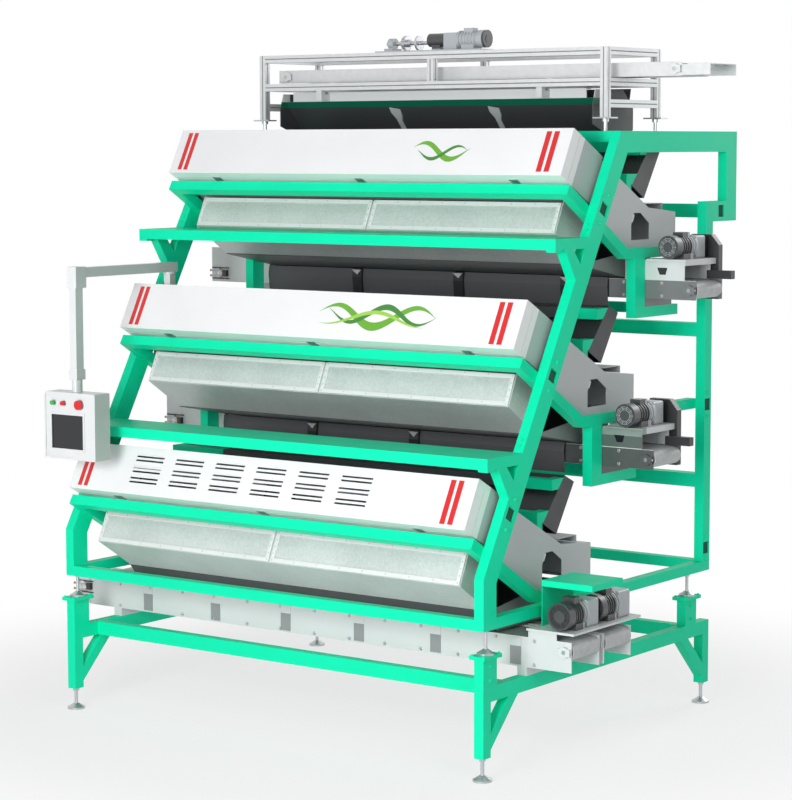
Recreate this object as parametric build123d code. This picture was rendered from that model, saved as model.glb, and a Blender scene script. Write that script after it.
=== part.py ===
from build123d import *
import os
from math import atan2, cos, degrees, hypot, radians, sin, tan

os.makedirs("parts", exist_ok=True)

# Tea sorting machine with three stacked optical sorting tiers, in millimetres.
# Layout axes: X runs to the right along the front, Y to the rear, Z up, floor at Z 0.
# The layout origin is the front left corner of the stand on the floor.
# Everything is moved at the end so that the origin is the bottom centre of the whole machine.

# Main frame
frame_width = 3000.0
frame_depth = 2395.0
tube = 60.0
post_depth = 120.0
rear_post_depth = 80.0
lean = 30.0
run_gap = 0.3

# Stand and levelling feet
foot_gap = 125.0
foot_radius = 52.0
stand_rail_low = 424.0
stand_rail_height = 80.0
stand_leg_depth = 70.0
front_rail_y = 200.0
stub_post_top = 656.0
stub_post_depth = 126.0
pad_plate = 20.0
pad_plate_margin = 20.0
rear_stub_y = 2118.0
mid_stub_y = 1100.0
brace_drop = 258.0

# Platform and side frames
platform_low = 807.0
platform_height = 60.0
bend_height = 1084.0
beam_low = 3300.0
beam_height = 120.0
drop_rear_y = 2675.0
jog_low = 2890.0
cross_tube = 80.0
cross_wall = 4.0
window_size = 70.0
slant_window_heights = (1399.0, 2104.0, 2990.0)
rear_window_heights = (945.0, 1807.0)
rear_tie_heights = (1350.0, 2250.0)

# Foot-step rails in front of the two upper tiers
step_front_y = (677.0, 34.0)
step_top_z = (2839.0, 1716.0)
step_end_drop = 12.0

# Tiers: the reference point of a tier is the lower front edge of its white door
tier_y = 857.0
tier_z = 3178.0
tier_pitch_y = 456.0
tier_pitch_z = 916.0
tier_count = 3
face_tilt = 28.0
sheet = 4.0
housing_margin = 85.0
door_height = 291.0
door_depth = 75.0
door_seam = 3.0
optic_depth = 340.0
rear_step = 23.0
bracket_slope = 31.0
bracket_start = (56.0, -50.0)
bracket_corner_drop = 419.0
rear_box_back = 1242.0
rear_box_top = 194.0
lower_box_margin = 198.0
panel_frame = 26.0

# Hopper that feeds each tier
feed_foot = ((795.0, -66.0), (932.0, -140.0))
feed_head = ((1013.0, 178.0), (1111.0, 132.0))

# Belt conveyors under the two upper tiers
belt_run = 862.0
belt_plate_low = -712.0
belt_plate_high = -602.0
belt_skirt_high = -492.0
conveyor_width = 300.0
conveyor_overhang = 238.0
tail_overhang = 315.0
drum_radius = 45.0
drum_shaft_radius = 12.0
belt_thickness = 4.0
motor_radius = 65.0
belt_clear = 6.0
hanger_y = 754.0
hanger_depth = 105.0
hanger_low = -820.0
hanger_reach = 1234.0

# Twin conveyor at the bottom
bottom_front_y = 410.0
bottom_lane = 325.0
bottom_width = 282.0
bottom_low = 552.0
bottom_high = 717.0
bottom_overhang = 250.0

# Aluminium top frame, belt conveyor and hopper
profile = 45.0
top_margin = 228.0
top_front_y = 1560.0
top_rear_y = 2165.0
top_post_low = 3500.0
top_rail_high = 3898.0
top_mid_high = 3722.0
top_side_high = 3600.0
top_support_high = 3362.0
top_belt_y = 1690.0
top_belt_low = 3728.0
top_belt_high = 3808.0
top_belt_end = 3150.0
lip_y = 1660.0
lip_low = 3612.0
lip_high = 3668.0
top_hopper_margin = 422.0
top_body_margin = 350.0

# Operator console on its swivelling arm
console_x = 265.0
pedestal_y = 650.0
elbow_y = -160.0
arm_low = 2589.0
arm_height = 56.0
console_width = 400.0
console_high = 1928.0
console_low = 1540.0
console_depth = 125.0

slope = tan(radians(lean))
right_inner = frame_width - tube
rail_top = stand_rail_low + stand_rail_height
platform_top = platform_low + platform_height
beam_high = beam_low + beam_height


def block(x0, x1, y0, y1, z0, z1):
    """Straight box between two corners."""
    size = Box(x1 - x0, y1 - y0, z1 - z0)
    return Pos((x0 + x1) / 2, (y0 + y1) / 2, (z0 + z1) / 2) * size


def prism_x(points, x0, x1):
    """Outline of (Y, Z) points carried across the machine from x0 to x1."""
    plane = Plane(origin=(x0, 0, 0), x_dir=(0, 1, 0), z_dir=(1, 0, 0))
    outline = make_face(Polyline(*points, close=True))
    return extrude(plane * outline, amount=x1 - x0)


def prism_y(points, y0, y1):
    """Outline of (X, Z) points carried from y0 back to y1."""
    plane = Plane(origin=(0, y1, 0), x_dir=(1, 0, 0), z_dir=(0, -1, 0))
    outline = make_face(Polyline(*points, close=True))
    return extrude(plane * outline, amount=y1 - y0)


def rod_x(x0, x1, y, z, radius):
    """Round bar along X."""
    return Pos((x0 + x1) / 2, y, z) * Rot(0, 90, 0) * Cylinder(radius, x1 - x0)


def rod_y(x, y0, y1, z, radius):
    """Round bar along Y."""
    return Pos(x, (y0 + y1) / 2, z) * Rot(90, 0, 0) * Cylinder(radius, y1 - y0)


def rod_z(x, y, z0, z1, radius):
    """Round bar along Z."""
    return Pos(x, y, (z0 + z1) / 2) * Cylinder(radius, z1 - z0)


def both_sides(shape):
    """A piece of the left side and its mirror image on the right side."""
    mirrored = mirror(shape, about=Plane.YZ.offset(frame_width / 2))
    return [shape, mirrored]


def tier_origin(tier):
    """Lower front edge of the door of tier 1, 2 or 3, counted from the top."""
    return tier_y - (tier - 1) * tier_pitch_y, tier_z - (tier - 1) * tier_pitch_z


def on_tier(tier, points):
    """Points given from the reference point of a tier, in layout coordinates."""
    y0, z0 = tier_origin(tier)
    return [(y0 + y, z0 + z) for y, z in points]


def tilted(depth, rise):
    """Point of a tier given along its tilted housing: depth to the rear, rise up the face."""
    angle = radians(face_tilt)
    return depth * cos(angle) + rise * sin(angle), rise * cos(angle) - depth * sin(angle)


def tilted_box(tier, depth0, depth1, rise0, rise1, x0, x1):
    """Box that follows the tilt of a tier."""
    corners = [(depth0, rise0), (depth1, rise0), (depth1, rise1), (depth0, rise1)]
    return prism_x(on_tier(tier, [tilted(*corner) for corner in corners]), x0, x1)


def sloped_strip(start, end, thickness):
    """Outline of a flat strip below the line from start to end, square at both ends."""
    length = hypot(end[0] - start[0], end[1] - start[1])
    nx = (end[1] - start[1]) / length * thickness
    nz = -(end[0] - start[0]) / length * thickness
    return [start, end, (end[0] + nx, end[1] + nz), (start[0] + nx, start[1] + nz)]


nodes = {}


def keep(name, shapes):
    """Keeps the solids of one sub-part under its node name."""
    nodes[name] = [solid for shape in shapes for solid in shape.solids()]


# Stand


def stand_frame():
    side = []
    for y0 in (0, frame_depth - stand_leg_depth):
        side.append(block(0, tube, y0, y0 + stand_leg_depth, foot_gap, rail_top))
    side.append(
        block(0, tube, stand_leg_depth, frame_depth - stand_leg_depth, stand_rail_low, rail_top)
    )
    low = stand_rail_low - brace_drop
    brace = tube / cos(radians(45))
    front = stand_leg_depth
    side.append(
        prism_x(
            [(front, low), (front + brace_drop, stand_rail_low),
             (front + brace_drop - brace, stand_rail_low), (front, low + brace)],
            0, tube,
        )
    )
    rear = frame_depth - stand_leg_depth
    side.append(
        prism_x(
            [(rear, low), (rear, low + brace),
             (rear - brace_drop + brace, stand_rail_low), (rear - brace_drop, stand_rail_low)],
            0, tube,
        )
    )
    pieces = [part for piece in side for part in both_sides(piece)]
    for y0 in (front_rail_y, rear_stub_y + 12):
        pieces.append(block(tube, right_inner, y0, y0 + tube, stand_rail_low, rail_top))
    return pieces


def stub_posts():
    pieces = []
    for y0 in (0, mid_stub_y, rear_stub_y):
        post = block(0, tube, y0, y0 + stub_post_depth, rail_top, stub_post_top)
        margin = pad_plate_margin
        plate = block(
            -margin, tube + margin, y0 - margin, y0 + stub_post_depth + margin,
            stub_post_top, stub_post_top + pad_plate,
        )
        pieces += both_sides(post) + both_sides(plate)
    return pieces


def levelling_foot(x, y, low, high, radius):
    """Rubber-shod pad, cone, threaded stem and lock nut of one levelling foot."""
    pad_height = radius * 0.22
    cone_height = radius * 0.42
    stem = radius * 0.2
    pad = rod_z(x, y, low, low + pad_height, radius)
    cone = Pos(x, y, low + pad_height + cone_height / 2) * Cone(radius * 0.94, stem * 1.5, cone_height)
    bar = rod_z(x, y, low + pad_height + cone_height, high, stem)
    nut = RegularPolygon(stem * 1.9, 6)
    nut = extrude(Pos(x, y, high - radius * 0.3) * nut, amount=radius * 0.3)
    return pad + cone + bar + nut


def levelling_feet():
    pieces = []
    for y in (stand_leg_depth / 2, frame_depth - stand_leg_depth / 2):
        pieces += both_sides(levelling_foot(tube / 2, y, 0, foot_gap, foot_radius))
    low = stub_post_top + pad_plate
    for y0 in (0, mid_stub_y, rear_stub_y):
        foot = levelling_foot(tube / 2, y0 + stub_post_depth / 2, low, platform_low, foot_radius * 0.9)
        pieces += both_sides(foot)
    return pieces


# Platform and side frames


def platform_frame():
    side = block(0, tube, 0, frame_depth, platform_low, platform_top)
    pieces = both_sides(side)
    for y0 in (0, mid_stub_y + 20, frame_depth - tube):
        pieces.append(block(tube, right_inner, y0, y0 + tube, platform_low, platform_top))
    return pieces


def post_y(z):
    """Front edge of the slanted post at a height."""
    return (z - bend_height) * slope


def window(y, z, angle, size):
    """Cutter for an access window to the bracket bolts in a side frame."""
    cutter = Box(4 * tube, size, size)
    return Pos(tube / 2, y, z) * Rot(angle, 0, 0) * cutter


def side_frame():
    wide = post_depth / cos(radians(lean))
    foot_shift = post_depth * tan(radians(lean / 2))
    foot = prism_x(
        [(0, platform_top), (post_depth, platform_top),
         (post_depth, bend_height - foot_shift), (0, bend_height)],
        0, tube,
    )
    slant = prism_x(
        [(0, bend_height), (post_depth, bend_height - foot_shift),
         (post_y(beam_low) + wide, beam_low), (post_y(beam_high) + wide, beam_high),
         (post_y(beam_high), beam_high)],
        0, tube,
    )
    beam = prism_x(
        [(post_y(beam_low) + wide, beam_low), (drop_rear_y, beam_low),
         (drop_rear_y, beam_high), (post_y(beam_high) + wide, beam_high)],
        0, tube,
    )
    jog_high = jog_low + post_depth
    rear_front = frame_depth - rear_post_depth
    drop = block(0, tube, drop_rear_y - post_depth, drop_rear_y, jog_high, beam_low)
    jog = block(0, tube, rear_front, drop_rear_y, jog_low, jog_high)
    rear = block(0, tube, rear_front, frame_depth, platform_top, jog_low)
    half = post_depth / 2 / cos(radians(lean))
    for z in slant_window_heights:
        slant -= window(post_y(z) + half, z, -lean, window_size)
    for height in rear_window_heights:
        rear -= window(frame_depth - rear_post_depth / 2, height, 0, window_size)
    jog -= window(*jog_cross_place(), 0, window_size)
    return [foot, slant, beam, drop, jog, rear]


def jog_cross_place():
    return (frame_depth - rear_post_depth + drop_rear_y) / 2, jog_low + post_depth / 2


def cross_tube_piece(y, z):
    span = frame_width - 2 * tube
    bore = cross_tube - 2 * cross_wall
    piece = Box(span, cross_tube, cross_tube) - Box(span, bore, bore)
    return Pos(frame_width / 2, y, z) * piece


def cross_tubes():
    pieces = [cross_tube_piece(*jog_cross_place())]
    for height in rear_tie_heights:
        pieces.append(cross_tube_piece(frame_depth - rear_post_depth / 2, height))
    top_front = post_y(beam_high)
    pieces.append(block(tube, right_inner, top_front, top_front + tube, beam_high - tube, beam_high))
    for y0 in (top_front_y - 7, top_rear_y - profile - 7):
        pieces.append(
            block(tube, right_inner, y0, y0 + tube, top_support_high - tube, top_support_high)
        )
    return pieces


def step_rails():
    pieces = []
    for front, top in zip(step_front_y, step_top_z):
        low = top - tube
        arm_end = post_y(top)
        low_end = post_y(low)
        arm = prism_x([(front, low - step_end_drop), (front + tube, low - step_end_drop), (front + tube, low),
                       (low_end, low), (arm_end, top), (front, top)], 0, tube)
        drop = 0.42 * (low_end - front)
        reach = post_y(low - drop)
        start = front + 0.12 * (low_end - front)
        width = tube / cos(radians(45))
        strut = prism_x(
            [(start + tube, low), (start + tube + width, low),
             (post_y(low - drop + width / 2), low - drop + width / 2),
             (post_y(low - drop - width / 2), low - drop - width / 2)],
            0, tube,
        )
        pieces += both_sides(arm) + both_sides(strut)
        pieces.append(block(tube, right_inner, front, front + tube, low, top))
    return pieces


# Brackets that carry the tiers on the side frames


def bracket_line(tier):
    """Upper edge of a bracket from the door rail down to its corner, and the corner."""
    angle = radians(bracket_slope)
    run = (bracket_corner_drop + bracket_start[1]) / tan(angle)
    return bracket_start, (bracket_start[0] + run, -bracket_corner_drop)


def tier_brackets():
    pieces = []
    angle = radians(bracket_slope)
    square = (tube * cos(angle), -tube * sin(angle))
    down = (-tube * sin(angle), -tube * cos(angle))
    for tier in range(1, tier_count + 1):
        start, corner = bracket_line(tier)
        behind = (start[0] + square[0], start[1] + square[1])
        rail = [start, behind, (behind[0] + down[0], behind[1] + down[1]),
                (start[0] + down[0], start[1] + down[1])]
        pieces.append(prism_x(on_tier(tier, rail), tube, right_inner))
        shift = tube * tan(angle / 2)
        low_corner = (corner[0] - shift, corner[1] - tube)
        slope_part = [behind, corner, low_corner, (behind[0] + down[0], behind[1] + down[1])]
        y0 = tier_origin(tier)[0]
        end = rear_box_back if tier == tier_count else frame_depth - rear_post_depth - y0
        flat_part = [corner, (end, corner[1]), (end, corner[1] - tube), low_corner]
        for part in (slope_part, flat_part):
            pieces += both_sides(prism_x(on_tier(tier, part), tube, 2 * tube))
    return pieces


def conveyor_hangers():
    pieces = []
    for tier in (1, 2):
        y0, z0 = tier_origin(tier)
        under = z0 - bracket_corner_drop - tube
        low = z0 + hanger_low
        post = block(tube, 2 * tube, y0 + hanger_y, y0 + hanger_y + hanger_depth, low, under)
        base = block(tube, 2 * tube, y0 + hanger_y + hanger_depth, y0 + hanger_reach, low, low + tube)
        pieces += both_sides(post) + both_sides(base)
        tie = y0 + hanger_reach - tube
        pieces.append(block(2 * tube, frame_width - 2 * tube, tie, tie + tube, low, low + tube))
    return pieces


# Doors and housings of the tiers


def hinge_places():
    """Centres along X of the hinges of a door."""
    return [housing_margin + share * (frame_width - 2 * housing_margin) for share in (0.14, 0.5, 0.86)]


hinge_pin_radius = 5.0
hinge_fit = 0.05
knuckle_radius = 9.0
knuckle_length = 60.0


def hinge_axis(tier):
    """Centre of the hinge pins over the seam between the door and the housing."""
    lift = knuckle_radius + run_gap
    return on_tier(tier, [tilted(door_depth + door_seam / 2, door_height + lift)])[0]


def fascia_door(tier):
    """Folded sheet door, open at the rear, with hinge knuckles on its top edge."""
    left, right = housing_margin, frame_width - housing_margin
    outer = tilted_box(tier, 0, door_depth, 0, door_height, left, right)
    inner = tilted_box(
        tier, sheet, door_depth + sheet, sheet, door_height - sheet, left + sheet, right - sheet
    )
    door = outer - inner
    y, z = hinge_axis(tier)
    for x in hinge_places():
        x0, x1 = x - knuckle_length, x - run_gap
        knuckle = rod_x(x0, x1, y, z, knuckle_radius)
        leaf = tilted_box(
            tier, door_depth - 32, door_depth - 2, door_height, door_height + 3, x0, x1
        )
        web = tilted_box(
            tier, door_depth - 9, door_depth - 2, door_height, door_height + knuckle_radius, x0, x1
        )
        door = door + knuckle + leaf + web
        door -= rod_x(x0 - 1, x1 + 1, y, z, hinge_pin_radius + hinge_fit)
    if tier == tier_count:
        door -= louvre_slots(tier)
    return [door]


louvre_columns = 6
louvre_first = 530.0
louvre_pitch = 300.0
louvre_length = 210.0
louvre_rows = (227.0, 158.0, 94.0)
louvre_pair = 24.0
louvre_height = 11.0


def louvre_slots(tier):
    """Pairs of cooling slots in the lowest door."""
    cutters = []
    for column in range(louvre_columns):
        x0 = louvre_first + column * louvre_pitch
        for row in louvre_rows:
            for rise in (row, row - louvre_pair):
                cutters.append(
                    tilted_box(tier, -sheet, 2 * sheet, rise, rise + louvre_height, x0, x0 + louvre_length)
                )
    return Compound(children=cutters)


def door_hinges():
    """Fixed halves of the door hinges with their pins."""
    pieces = []
    start = door_depth + door_seam
    for tier in range(1, tier_count + 1):
        y, z = hinge_axis(tier)
        for x in hinge_places():
            x0, x1 = x, x + knuckle_length
            knuckle = rod_x(x0, x1, y, z, knuckle_radius)
            leaf = tilted_box(tier, start + 2, start + 32, door_height, door_height + 3, x0, x1)
            web = tilted_box(tier, start + 2, start + 9, door_height, door_height + knuckle_radius, x0, x1)
            pin = rod_x(x - knuckle_length, x1, y, z, hinge_pin_radius)
            pieces.append(knuckle + leaf + web + pin)
    return pieces


def optical_boxes():
    """Front camera boxes: top, floor and end sheets, closed by the doors in front."""
    pieces = []
    left, right = housing_margin, frame_width - housing_margin
    start = door_depth + door_seam
    for tier in range(1, tier_count + 1):
        pieces.append(tilted_box(tier, start, optic_depth, 0, sheet, left, right))
        pieces.append(tilted_box(tier, start, optic_depth, door_height - sheet, door_height, left, right))
        end = tilted_box(tier, start, optic_depth, sheet, door_height - sheet, left, left + sheet)
        pieces += both_sides(end)
    return pieces


def door_catches():
    """Turn catches under the lower edge of each door."""
    pieces = []
    start = door_depth + door_seam
    for tier in range(1, tier_count + 1):
        for share in (0.12, 0.5, 0.88):
            x = housing_margin + share * (frame_width - 2 * housing_margin)
            plate = tilted_box(tier, start - 28, start + 30, -4 - run_gap, -run_gap, x - 28, x + 28)
            foot = tilted_box(tier, start + 2, start + 30, -run_gap, 0, x - 28, x + 28)
            pieces.append(plate + foot)
    return pieces


def rear_outline():
    """Side view of the rear housing, from the reference point of its tier."""
    top_front = tilted(optic_depth, door_height - rear_step)
    low_front = tilted(optic_depth, 0)
    start, corner = bracket_line(1)
    angle = radians(bracket_slope)
    rest = start[1] - (low_front[0] - start[0]) * tan(angle)
    run = top_front[0] + (rear_box_top + top_front[1]) / tan(radians(face_tilt))
    return [
        low_front, top_front, (run, -rear_box_top), (rear_box_back, -rear_box_top - 30),
        (rear_box_back, corner[1]), corner, (low_front[0], rest),
    ]


pentagon = [(745, -375), (745, -288), (772, -222), (848, -222), (945, -283), (945, -375)]


def rear_boxes():
    """Rear camera boxes: side plates with inspection windows and folded top, rear and floor sheets."""
    pieces = []
    outline = rear_outline()
    left, right = housing_margin, frame_width - housing_margin
    top_front, knee, top_rear = outline[1], outline[2], outline[3]
    share = (feed_foot[0][0] - top_front[0]) / (knee[0] - top_front[0])
    gap_front = (feed_foot[0][0], top_front[1] + share * (knee[1] - top_front[1]))
    for tier in range(1, tier_count + 1):
        plate = prism_x(on_tier(tier, outline), left, left + sheet)
        plate -= prism_x(on_tier(tier, pentagon), left - sheet, left + 2 * sheet)
        pieces += both_sides(plate)
        inside = (left + sheet, right - sheet)
        pieces.append(prism_x(on_tier(tier, sloped_strip(top_front, gap_front, sheet)), *inside))
        pieces.append(prism_x(on_tier(tier, sloped_strip(knee, top_rear, sheet)), *inside))
        back = [(rear_box_back - sheet, top_rear[1] - sheet), (rear_box_back, top_rear[1] - sheet),
                (rear_box_back, outline[4][1]), (rear_box_back - sheet, outline[4][1])]
        pieces.append(prism_x(on_tier(tier, back), *inside))
        floor_front = belt_run + conveyor_width
        floor = [(floor_front, outline[4][1]), (rear_box_back - sheet, outline[4][1]),
                 (rear_box_back - sheet, outline[4][1] + sheet), (floor_front, outline[4][1] + sheet)]
        pieces.append(prism_x(on_tier(tier, floor), *inside))
    return pieces


lower_top = (252.0, -44.0)
lower_front = (264.0, -230.0)
lower_lip = (398.0, -502.0)


def lower_points():
    """Front top, front bottom and rear bottom corners of a lower front box."""
    return tilted(*lower_top), tilted(*lower_front), lower_lip


def lower_boxes():
    """Separating chambers under the doors: front and floor sheets with end plates."""
    pieces = []
    top, front, lip = lower_points()
    rear_top = tilted(optic_depth + 200, lower_top[1])
    hang_front, hang_rear = tilted(lower_top[0], 0), tilted(optic_depth, 0)
    left, right = lower_box_margin, frame_width - lower_box_margin
    for tier in range(1, tier_count + 1):
        end = prism_x(on_tier(tier, [hang_front, front, lip, rear_top, hang_rear]), left, left + sheet)
        inside = (left + sheet, right - sheet)
        wall = prism_x(on_tier(tier, [top, front, (front[0] + sheet, front[1]), (top[0] + sheet, top[1])]), *inside)
        floor = prism_x(
            on_tier(tier, [front, lip, (lip[0], lip[1] + sheet), (front[0] + sheet, front[1])]),
            *inside,
        )
        pieces += both_sides(end) + [wall, floor]
    return pieces


panel_gap = 14.0
panel_thickness = 6.0


def lower_panels():
    """Two framed inspection panels on the front of each lower box."""
    pieces = []
    left, right = lower_box_margin, frame_width - lower_box_margin
    middle = frame_width / 2
    top, front, lip = lower_points()
    angle = atan2(top[0] - front[0], top[1] - front[1])
    height = hypot(top[0] - front[0], top[1] - front[1])
    out = (-cos(angle), sin(angle))
    along = (sin(angle), cos(angle))

    def spot(out_by, up_by):
        return (front[0] + out[0] * out_by + along[0] * up_by, front[1] + out[1] * out_by + along[1] * up_by)

    for tier in range(1, tier_count + 1):
        for x0, x1 in ((left + 4, middle - panel_gap / 2), (middle + panel_gap / 2, right - 4)):
            outer = [spot(0, 3), spot(panel_thickness, 3), spot(panel_thickness, height), spot(0, height)]
            panel = prism_x(on_tier(tier, outer), x0, x1)
            recess = [spot(2, 3 + panel_frame), spot(2 * panel_thickness, 3 + panel_frame),
                      spot(2 * panel_thickness, height - panel_frame), spot(2, height - panel_frame)]
            panel -= prism_x(on_tier(tier, recess), x0 + panel_frame, x1 - panel_frame)
            pieces.append(panel)
    return pieces


# Working parts inside the housings


def chute_plates():
    pieces = []
    left = lower_box_margin + sheet
    for tier in range(1, tier_count + 1):
        pieces.append(tilted_box(tier, 470, 470 + sheet, -150, 235, left, frame_width - left))
    return pieces


def camera_units():
    """Line-scan cameras with their lens tubes, three to a tier."""
    pieces = []
    for tier in range(1, tier_count + 1):
        for share in (1 / 6, 0.5, 5 / 6):
            x = housing_margin + share * (frame_width - 2 * housing_margin)
            body = tilted_box(tier, 110, 230, 100, 190, x - 60, x + 60)
            lens = tilted_box(tier, 230, 290, 122, 168, x - 23, x + 23)
            stand = tilted_box(tier, 140, 200, sheet, 100, x - 40, x + 40)
            pieces.append(body + lens + stand)
    return pieces


def lamp_bars():
    pieces = []
    span = (housing_margin + sheet, frame_width - housing_margin - sheet)
    for tier in range(1, tier_count + 1):
        for depth, rise in ((312, 40), (312, 250), (620, 60)):
            y, z = on_tier(tier, [tilted(depth, rise)])[0]
            pieces.append(rod_x(*span, y, z, 14))
    return pieces


def ejector_bars():
    pieces = []
    for tier in range(1, tier_count + 1):
        span = (lower_box_margin + sheet, frame_width - lower_box_margin - sheet)
        pieces.append(tilted_box(tier, 470 + sheet, 520, -150, -100, *span))
    return pieces


def feeder_trays():
    """Vibrating trays that carry the leaves from the hopper to the chute."""
    pieces = []
    left = housing_margin + 20
    right = frame_width - left
    for tier in range(1, tier_count + 1):
        floor = tilted_box(tier, 490, 830, 130, 130 + sheet, left, right)
        back = tilted_box(tier, 830 - sheet, 830, 130 + sheet, 175, left, right)
        side = tilted_box(tier, 490, 830 - sheet, 130 + sheet, 175, left, left + sheet)
        drive = tilted_box(tier, 640, 720, 70, 130, frame_width / 2 - 90, frame_width / 2 + 90)
        pieces += [floor, back, drive] + both_sides(side)
        pieces += both_sides(tilted_box(tier, 650, 710, 140, 170, housing_margin + sheet, left))
    return pieces


feed_margin = 114.0


def feed_hoppers():
    """Dark tapered hopper over each tier: two end plates and two long walls, open at both ends."""
    pieces = []
    foot_front, foot_rear = feed_foot
    head_front, head_rear = feed_head
    left, right = feed_margin, frame_width - feed_margin
    for tier in range(1, tier_count + 1):
        outline = [foot_front, foot_rear, head_rear, head_front]
        pieces += both_sides(prism_x(on_tier(tier, outline), left, left + 5))
        inside = (left + 5, right - 5)
        front = [foot_front, (foot_front[0] + 5, foot_front[1]), (head_front[0] + 5, head_front[1]), head_front]
        rear = [(foot_rear[0] - 5, foot_rear[1]), foot_rear, head_rear, (head_rear[0] - 5, head_rear[1])]
        pieces.append(prism_x(on_tier(tier, front), *inside))
        pieces.append(prism_x(on_tier(tier, rear), *inside))
    return pieces


def hopper_tubes():
    """Tubes along the front of each feed hopper, with wedge blocks to the hopper and the housing."""
    pieces = []
    foot_y, foot_z = feed_foot[0]
    head_y, head_z = feed_head[0]
    left, right = feed_margin, frame_width - feed_margin
    lean_in = (head_y - foot_y) / (head_z - foot_z)
    housing = rear_outline()
    fall = (housing[2][1] - housing[1][1]) / (housing[2][0] - housing[1][0])
    for tier in range(1, tier_count + 1):
        for low in (foot_z + 6, head_z - 12 - tube):
            behind = foot_y + (low - foot_z) * lean_in - 2
            front = behind - tube
            square = [(front, low), (behind, low), (behind, low + tube), (front, low + tube)]
            pieces.append(prism_x(on_tier(tier, square), left, right))
            wedge = [(behind, low), (behind + 2, low), (behind + 2 + tube * lean_in, low + tube), (behind, low + tube)]
            for x0 in (left, frame_width / 2 - 30, right - 60):
                pieces.append(prism_x(on_tier(tier, wedge), x0, x0 + 60))
        low = foot_z + 6
        front = foot_y + 6 * lean_in - 2 - tube
        ground = housing[1][1] + (front - housing[1][0]) * fall
        wide = tube - 8
        wedge = [(front, ground), (front + wide, ground + wide * fall), (front + wide, low), (front, low)]
        for x0 in (left, frame_width / 2 - 30, right - 60):
            pieces.append(prism_x(on_tier(tier, wedge), x0, x0 + 60))
    return pieces


flap_length = 205.0
flap_lift = 14.0
flap_knuckle = 8.0
flap_pin = 4.0


def flap_axis(tier):
    """Centre of the hinge pins of the flap on a rear box."""
    knee = rear_outline()[2]
    return on_tier(tier, [(knee[0] + 20, knee[1] + flap_lift)])[0]


def flap_hinge_places():
    return [housing_margin + share * (frame_width - 2 * housing_margin) for share in (0.1, 0.5, 0.9)]


def rear_fall():
    """Slope of the rear part of the housing top."""
    knee, rear = rear_outline()[2:4]
    return (rear[1] - knee[1]) / (rear[0] - knee[0])


def flap_tray(tier):
    """Thin inspection flap on a rear box, with hinge knuckles at its front edge."""
    y, z = flap_axis(tier)
    left, right = housing_margin + 30, frame_width - housing_margin - 30
    low = z + flap_knuckle - 2
    end = y - 20 + flap_length
    plate = block(left, right, y - flap_knuckle, end, low, low + 3)
    ground = z - flap_lift + rear_fall() * (flap_length - 20)
    rib = block(left, right, end - 4, end, ground + 1, low)
    flap = plate + rib
    for x in flap_hinge_places():
        knuckle = rod_x(x - 50, x - run_gap, y, z, flap_knuckle)
        flap = flap + knuckle - rod_x(x - 51, x, y, z, flap_pin + hinge_fit)
    return [flap]


def flap_hinges():
    """Fixed halves of the flap hinges with their pins."""
    pieces = []
    for tier in range(1, tier_count + 1):
        y, z = flap_axis(tier)
        half = flap_knuckle - 2.5
        fall = rear_fall()
        for x in flap_hinge_places():
            ground = [(y - half, z), (y + half, z), (y + half, z - flap_lift + (20 + half) * fall),
                      (y - half, z - flap_lift + (20 - half) * fall)]
            web = prism_x(ground, x, x + 50)
            pieces.append(web + rod_x(x, x + 50, y, z, half) + rod_x(x - 50, x + 50, y, z, flap_pin))
    return pieces


def collecting_hoppers():
    """Dark outlet hoppers between each tier and its belt."""
    pieces = []
    left, right = lower_box_margin, frame_width - lower_box_margin
    lip = lower_lip
    for tier in range(1, tier_count + 1):
        if tier < tier_count:
            lane, width, drop = belt_run, conveyor_width, belt_plate_high + 8
        else:
            y0, z0 = tier_origin(tier)
            lane, width, drop = bottom_front_y - y0, bottom_lane + bottom_width, bottom_high + 8 - z0
        start = lip
        end = (lane + 20, drop)
        front = sloped_strip(start, end, sheet)
        rear_top = (lane + width, -bracket_corner_drop)
        back = [(rear_top[0] - sheet, rear_top[1]), rear_top, (lane + width - 16, drop), (lane + width - 20, drop)]
        inside = (left + sheet, right - sheet)
        pieces.append(prism_x(on_tier(tier, front), *inside))
        pieces.append(prism_x(on_tier(tier, back), *inside))
        plate = [start, end, (lane + width - 16, drop), rear_top]
        pieces += both_sides(prism_x(on_tier(tier, plate), left, left + sheet))
        run, fall = end[0] - start[0], end[1] - start[1]
        rib = [(start[0] + 0.3 * run, start[1] + 0.3 * fall), (start[0] + 0.97 * run, start[1] + 0.97 * fall),
               (lane + width - 30, drop + 20), (rear_top[0] - 14, rear_top[1] - 60)]
        for share in (1 / 3, 2 / 3):
            x = left + share * (right - left)
            pieces.append(prism_x(on_tier(tier, rib), x - 2, x + 2))
    return pieces


# Belt conveyors


class Lane:
    """Places and sizes of one belt lane."""

    def __init__(self, y0, width, low, high, tail_x, drive_x):
        self.y0 = y0
        self.width = width
        self.low = low
        self.high = high
        self.tail_x = tail_x
        self.drive_x = drive_x
        self.radius = min(drum_radius, (high - low) / 2 - belt_clear - belt_thickness)
        self.axis_z = high - belt_clear - belt_thickness - self.radius
        self.tail_drum_x = tail_x + 65
        self.drive_drum_x = drive_x - 6


def tier_lane(tier):
    y0, z0 = tier_origin(tier)
    return Lane(
        y0 + belt_run, conveyor_width, z0 + belt_plate_low, z0 + belt_plate_high,
        -tail_overhang, frame_width + conveyor_overhang,
    )


def bottom_lane_at(index):
    return Lane(
        bottom_front_y + index * bottom_lane, bottom_width, bottom_low, bottom_high,
        -tail_overhang, frame_width + bottom_overhang,
    )


def top_lane():
    return Lane(
        top_belt_y, conveyor_width, top_belt_low, top_belt_high, top_margin + profile + 8, top_belt_end
    )


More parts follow.
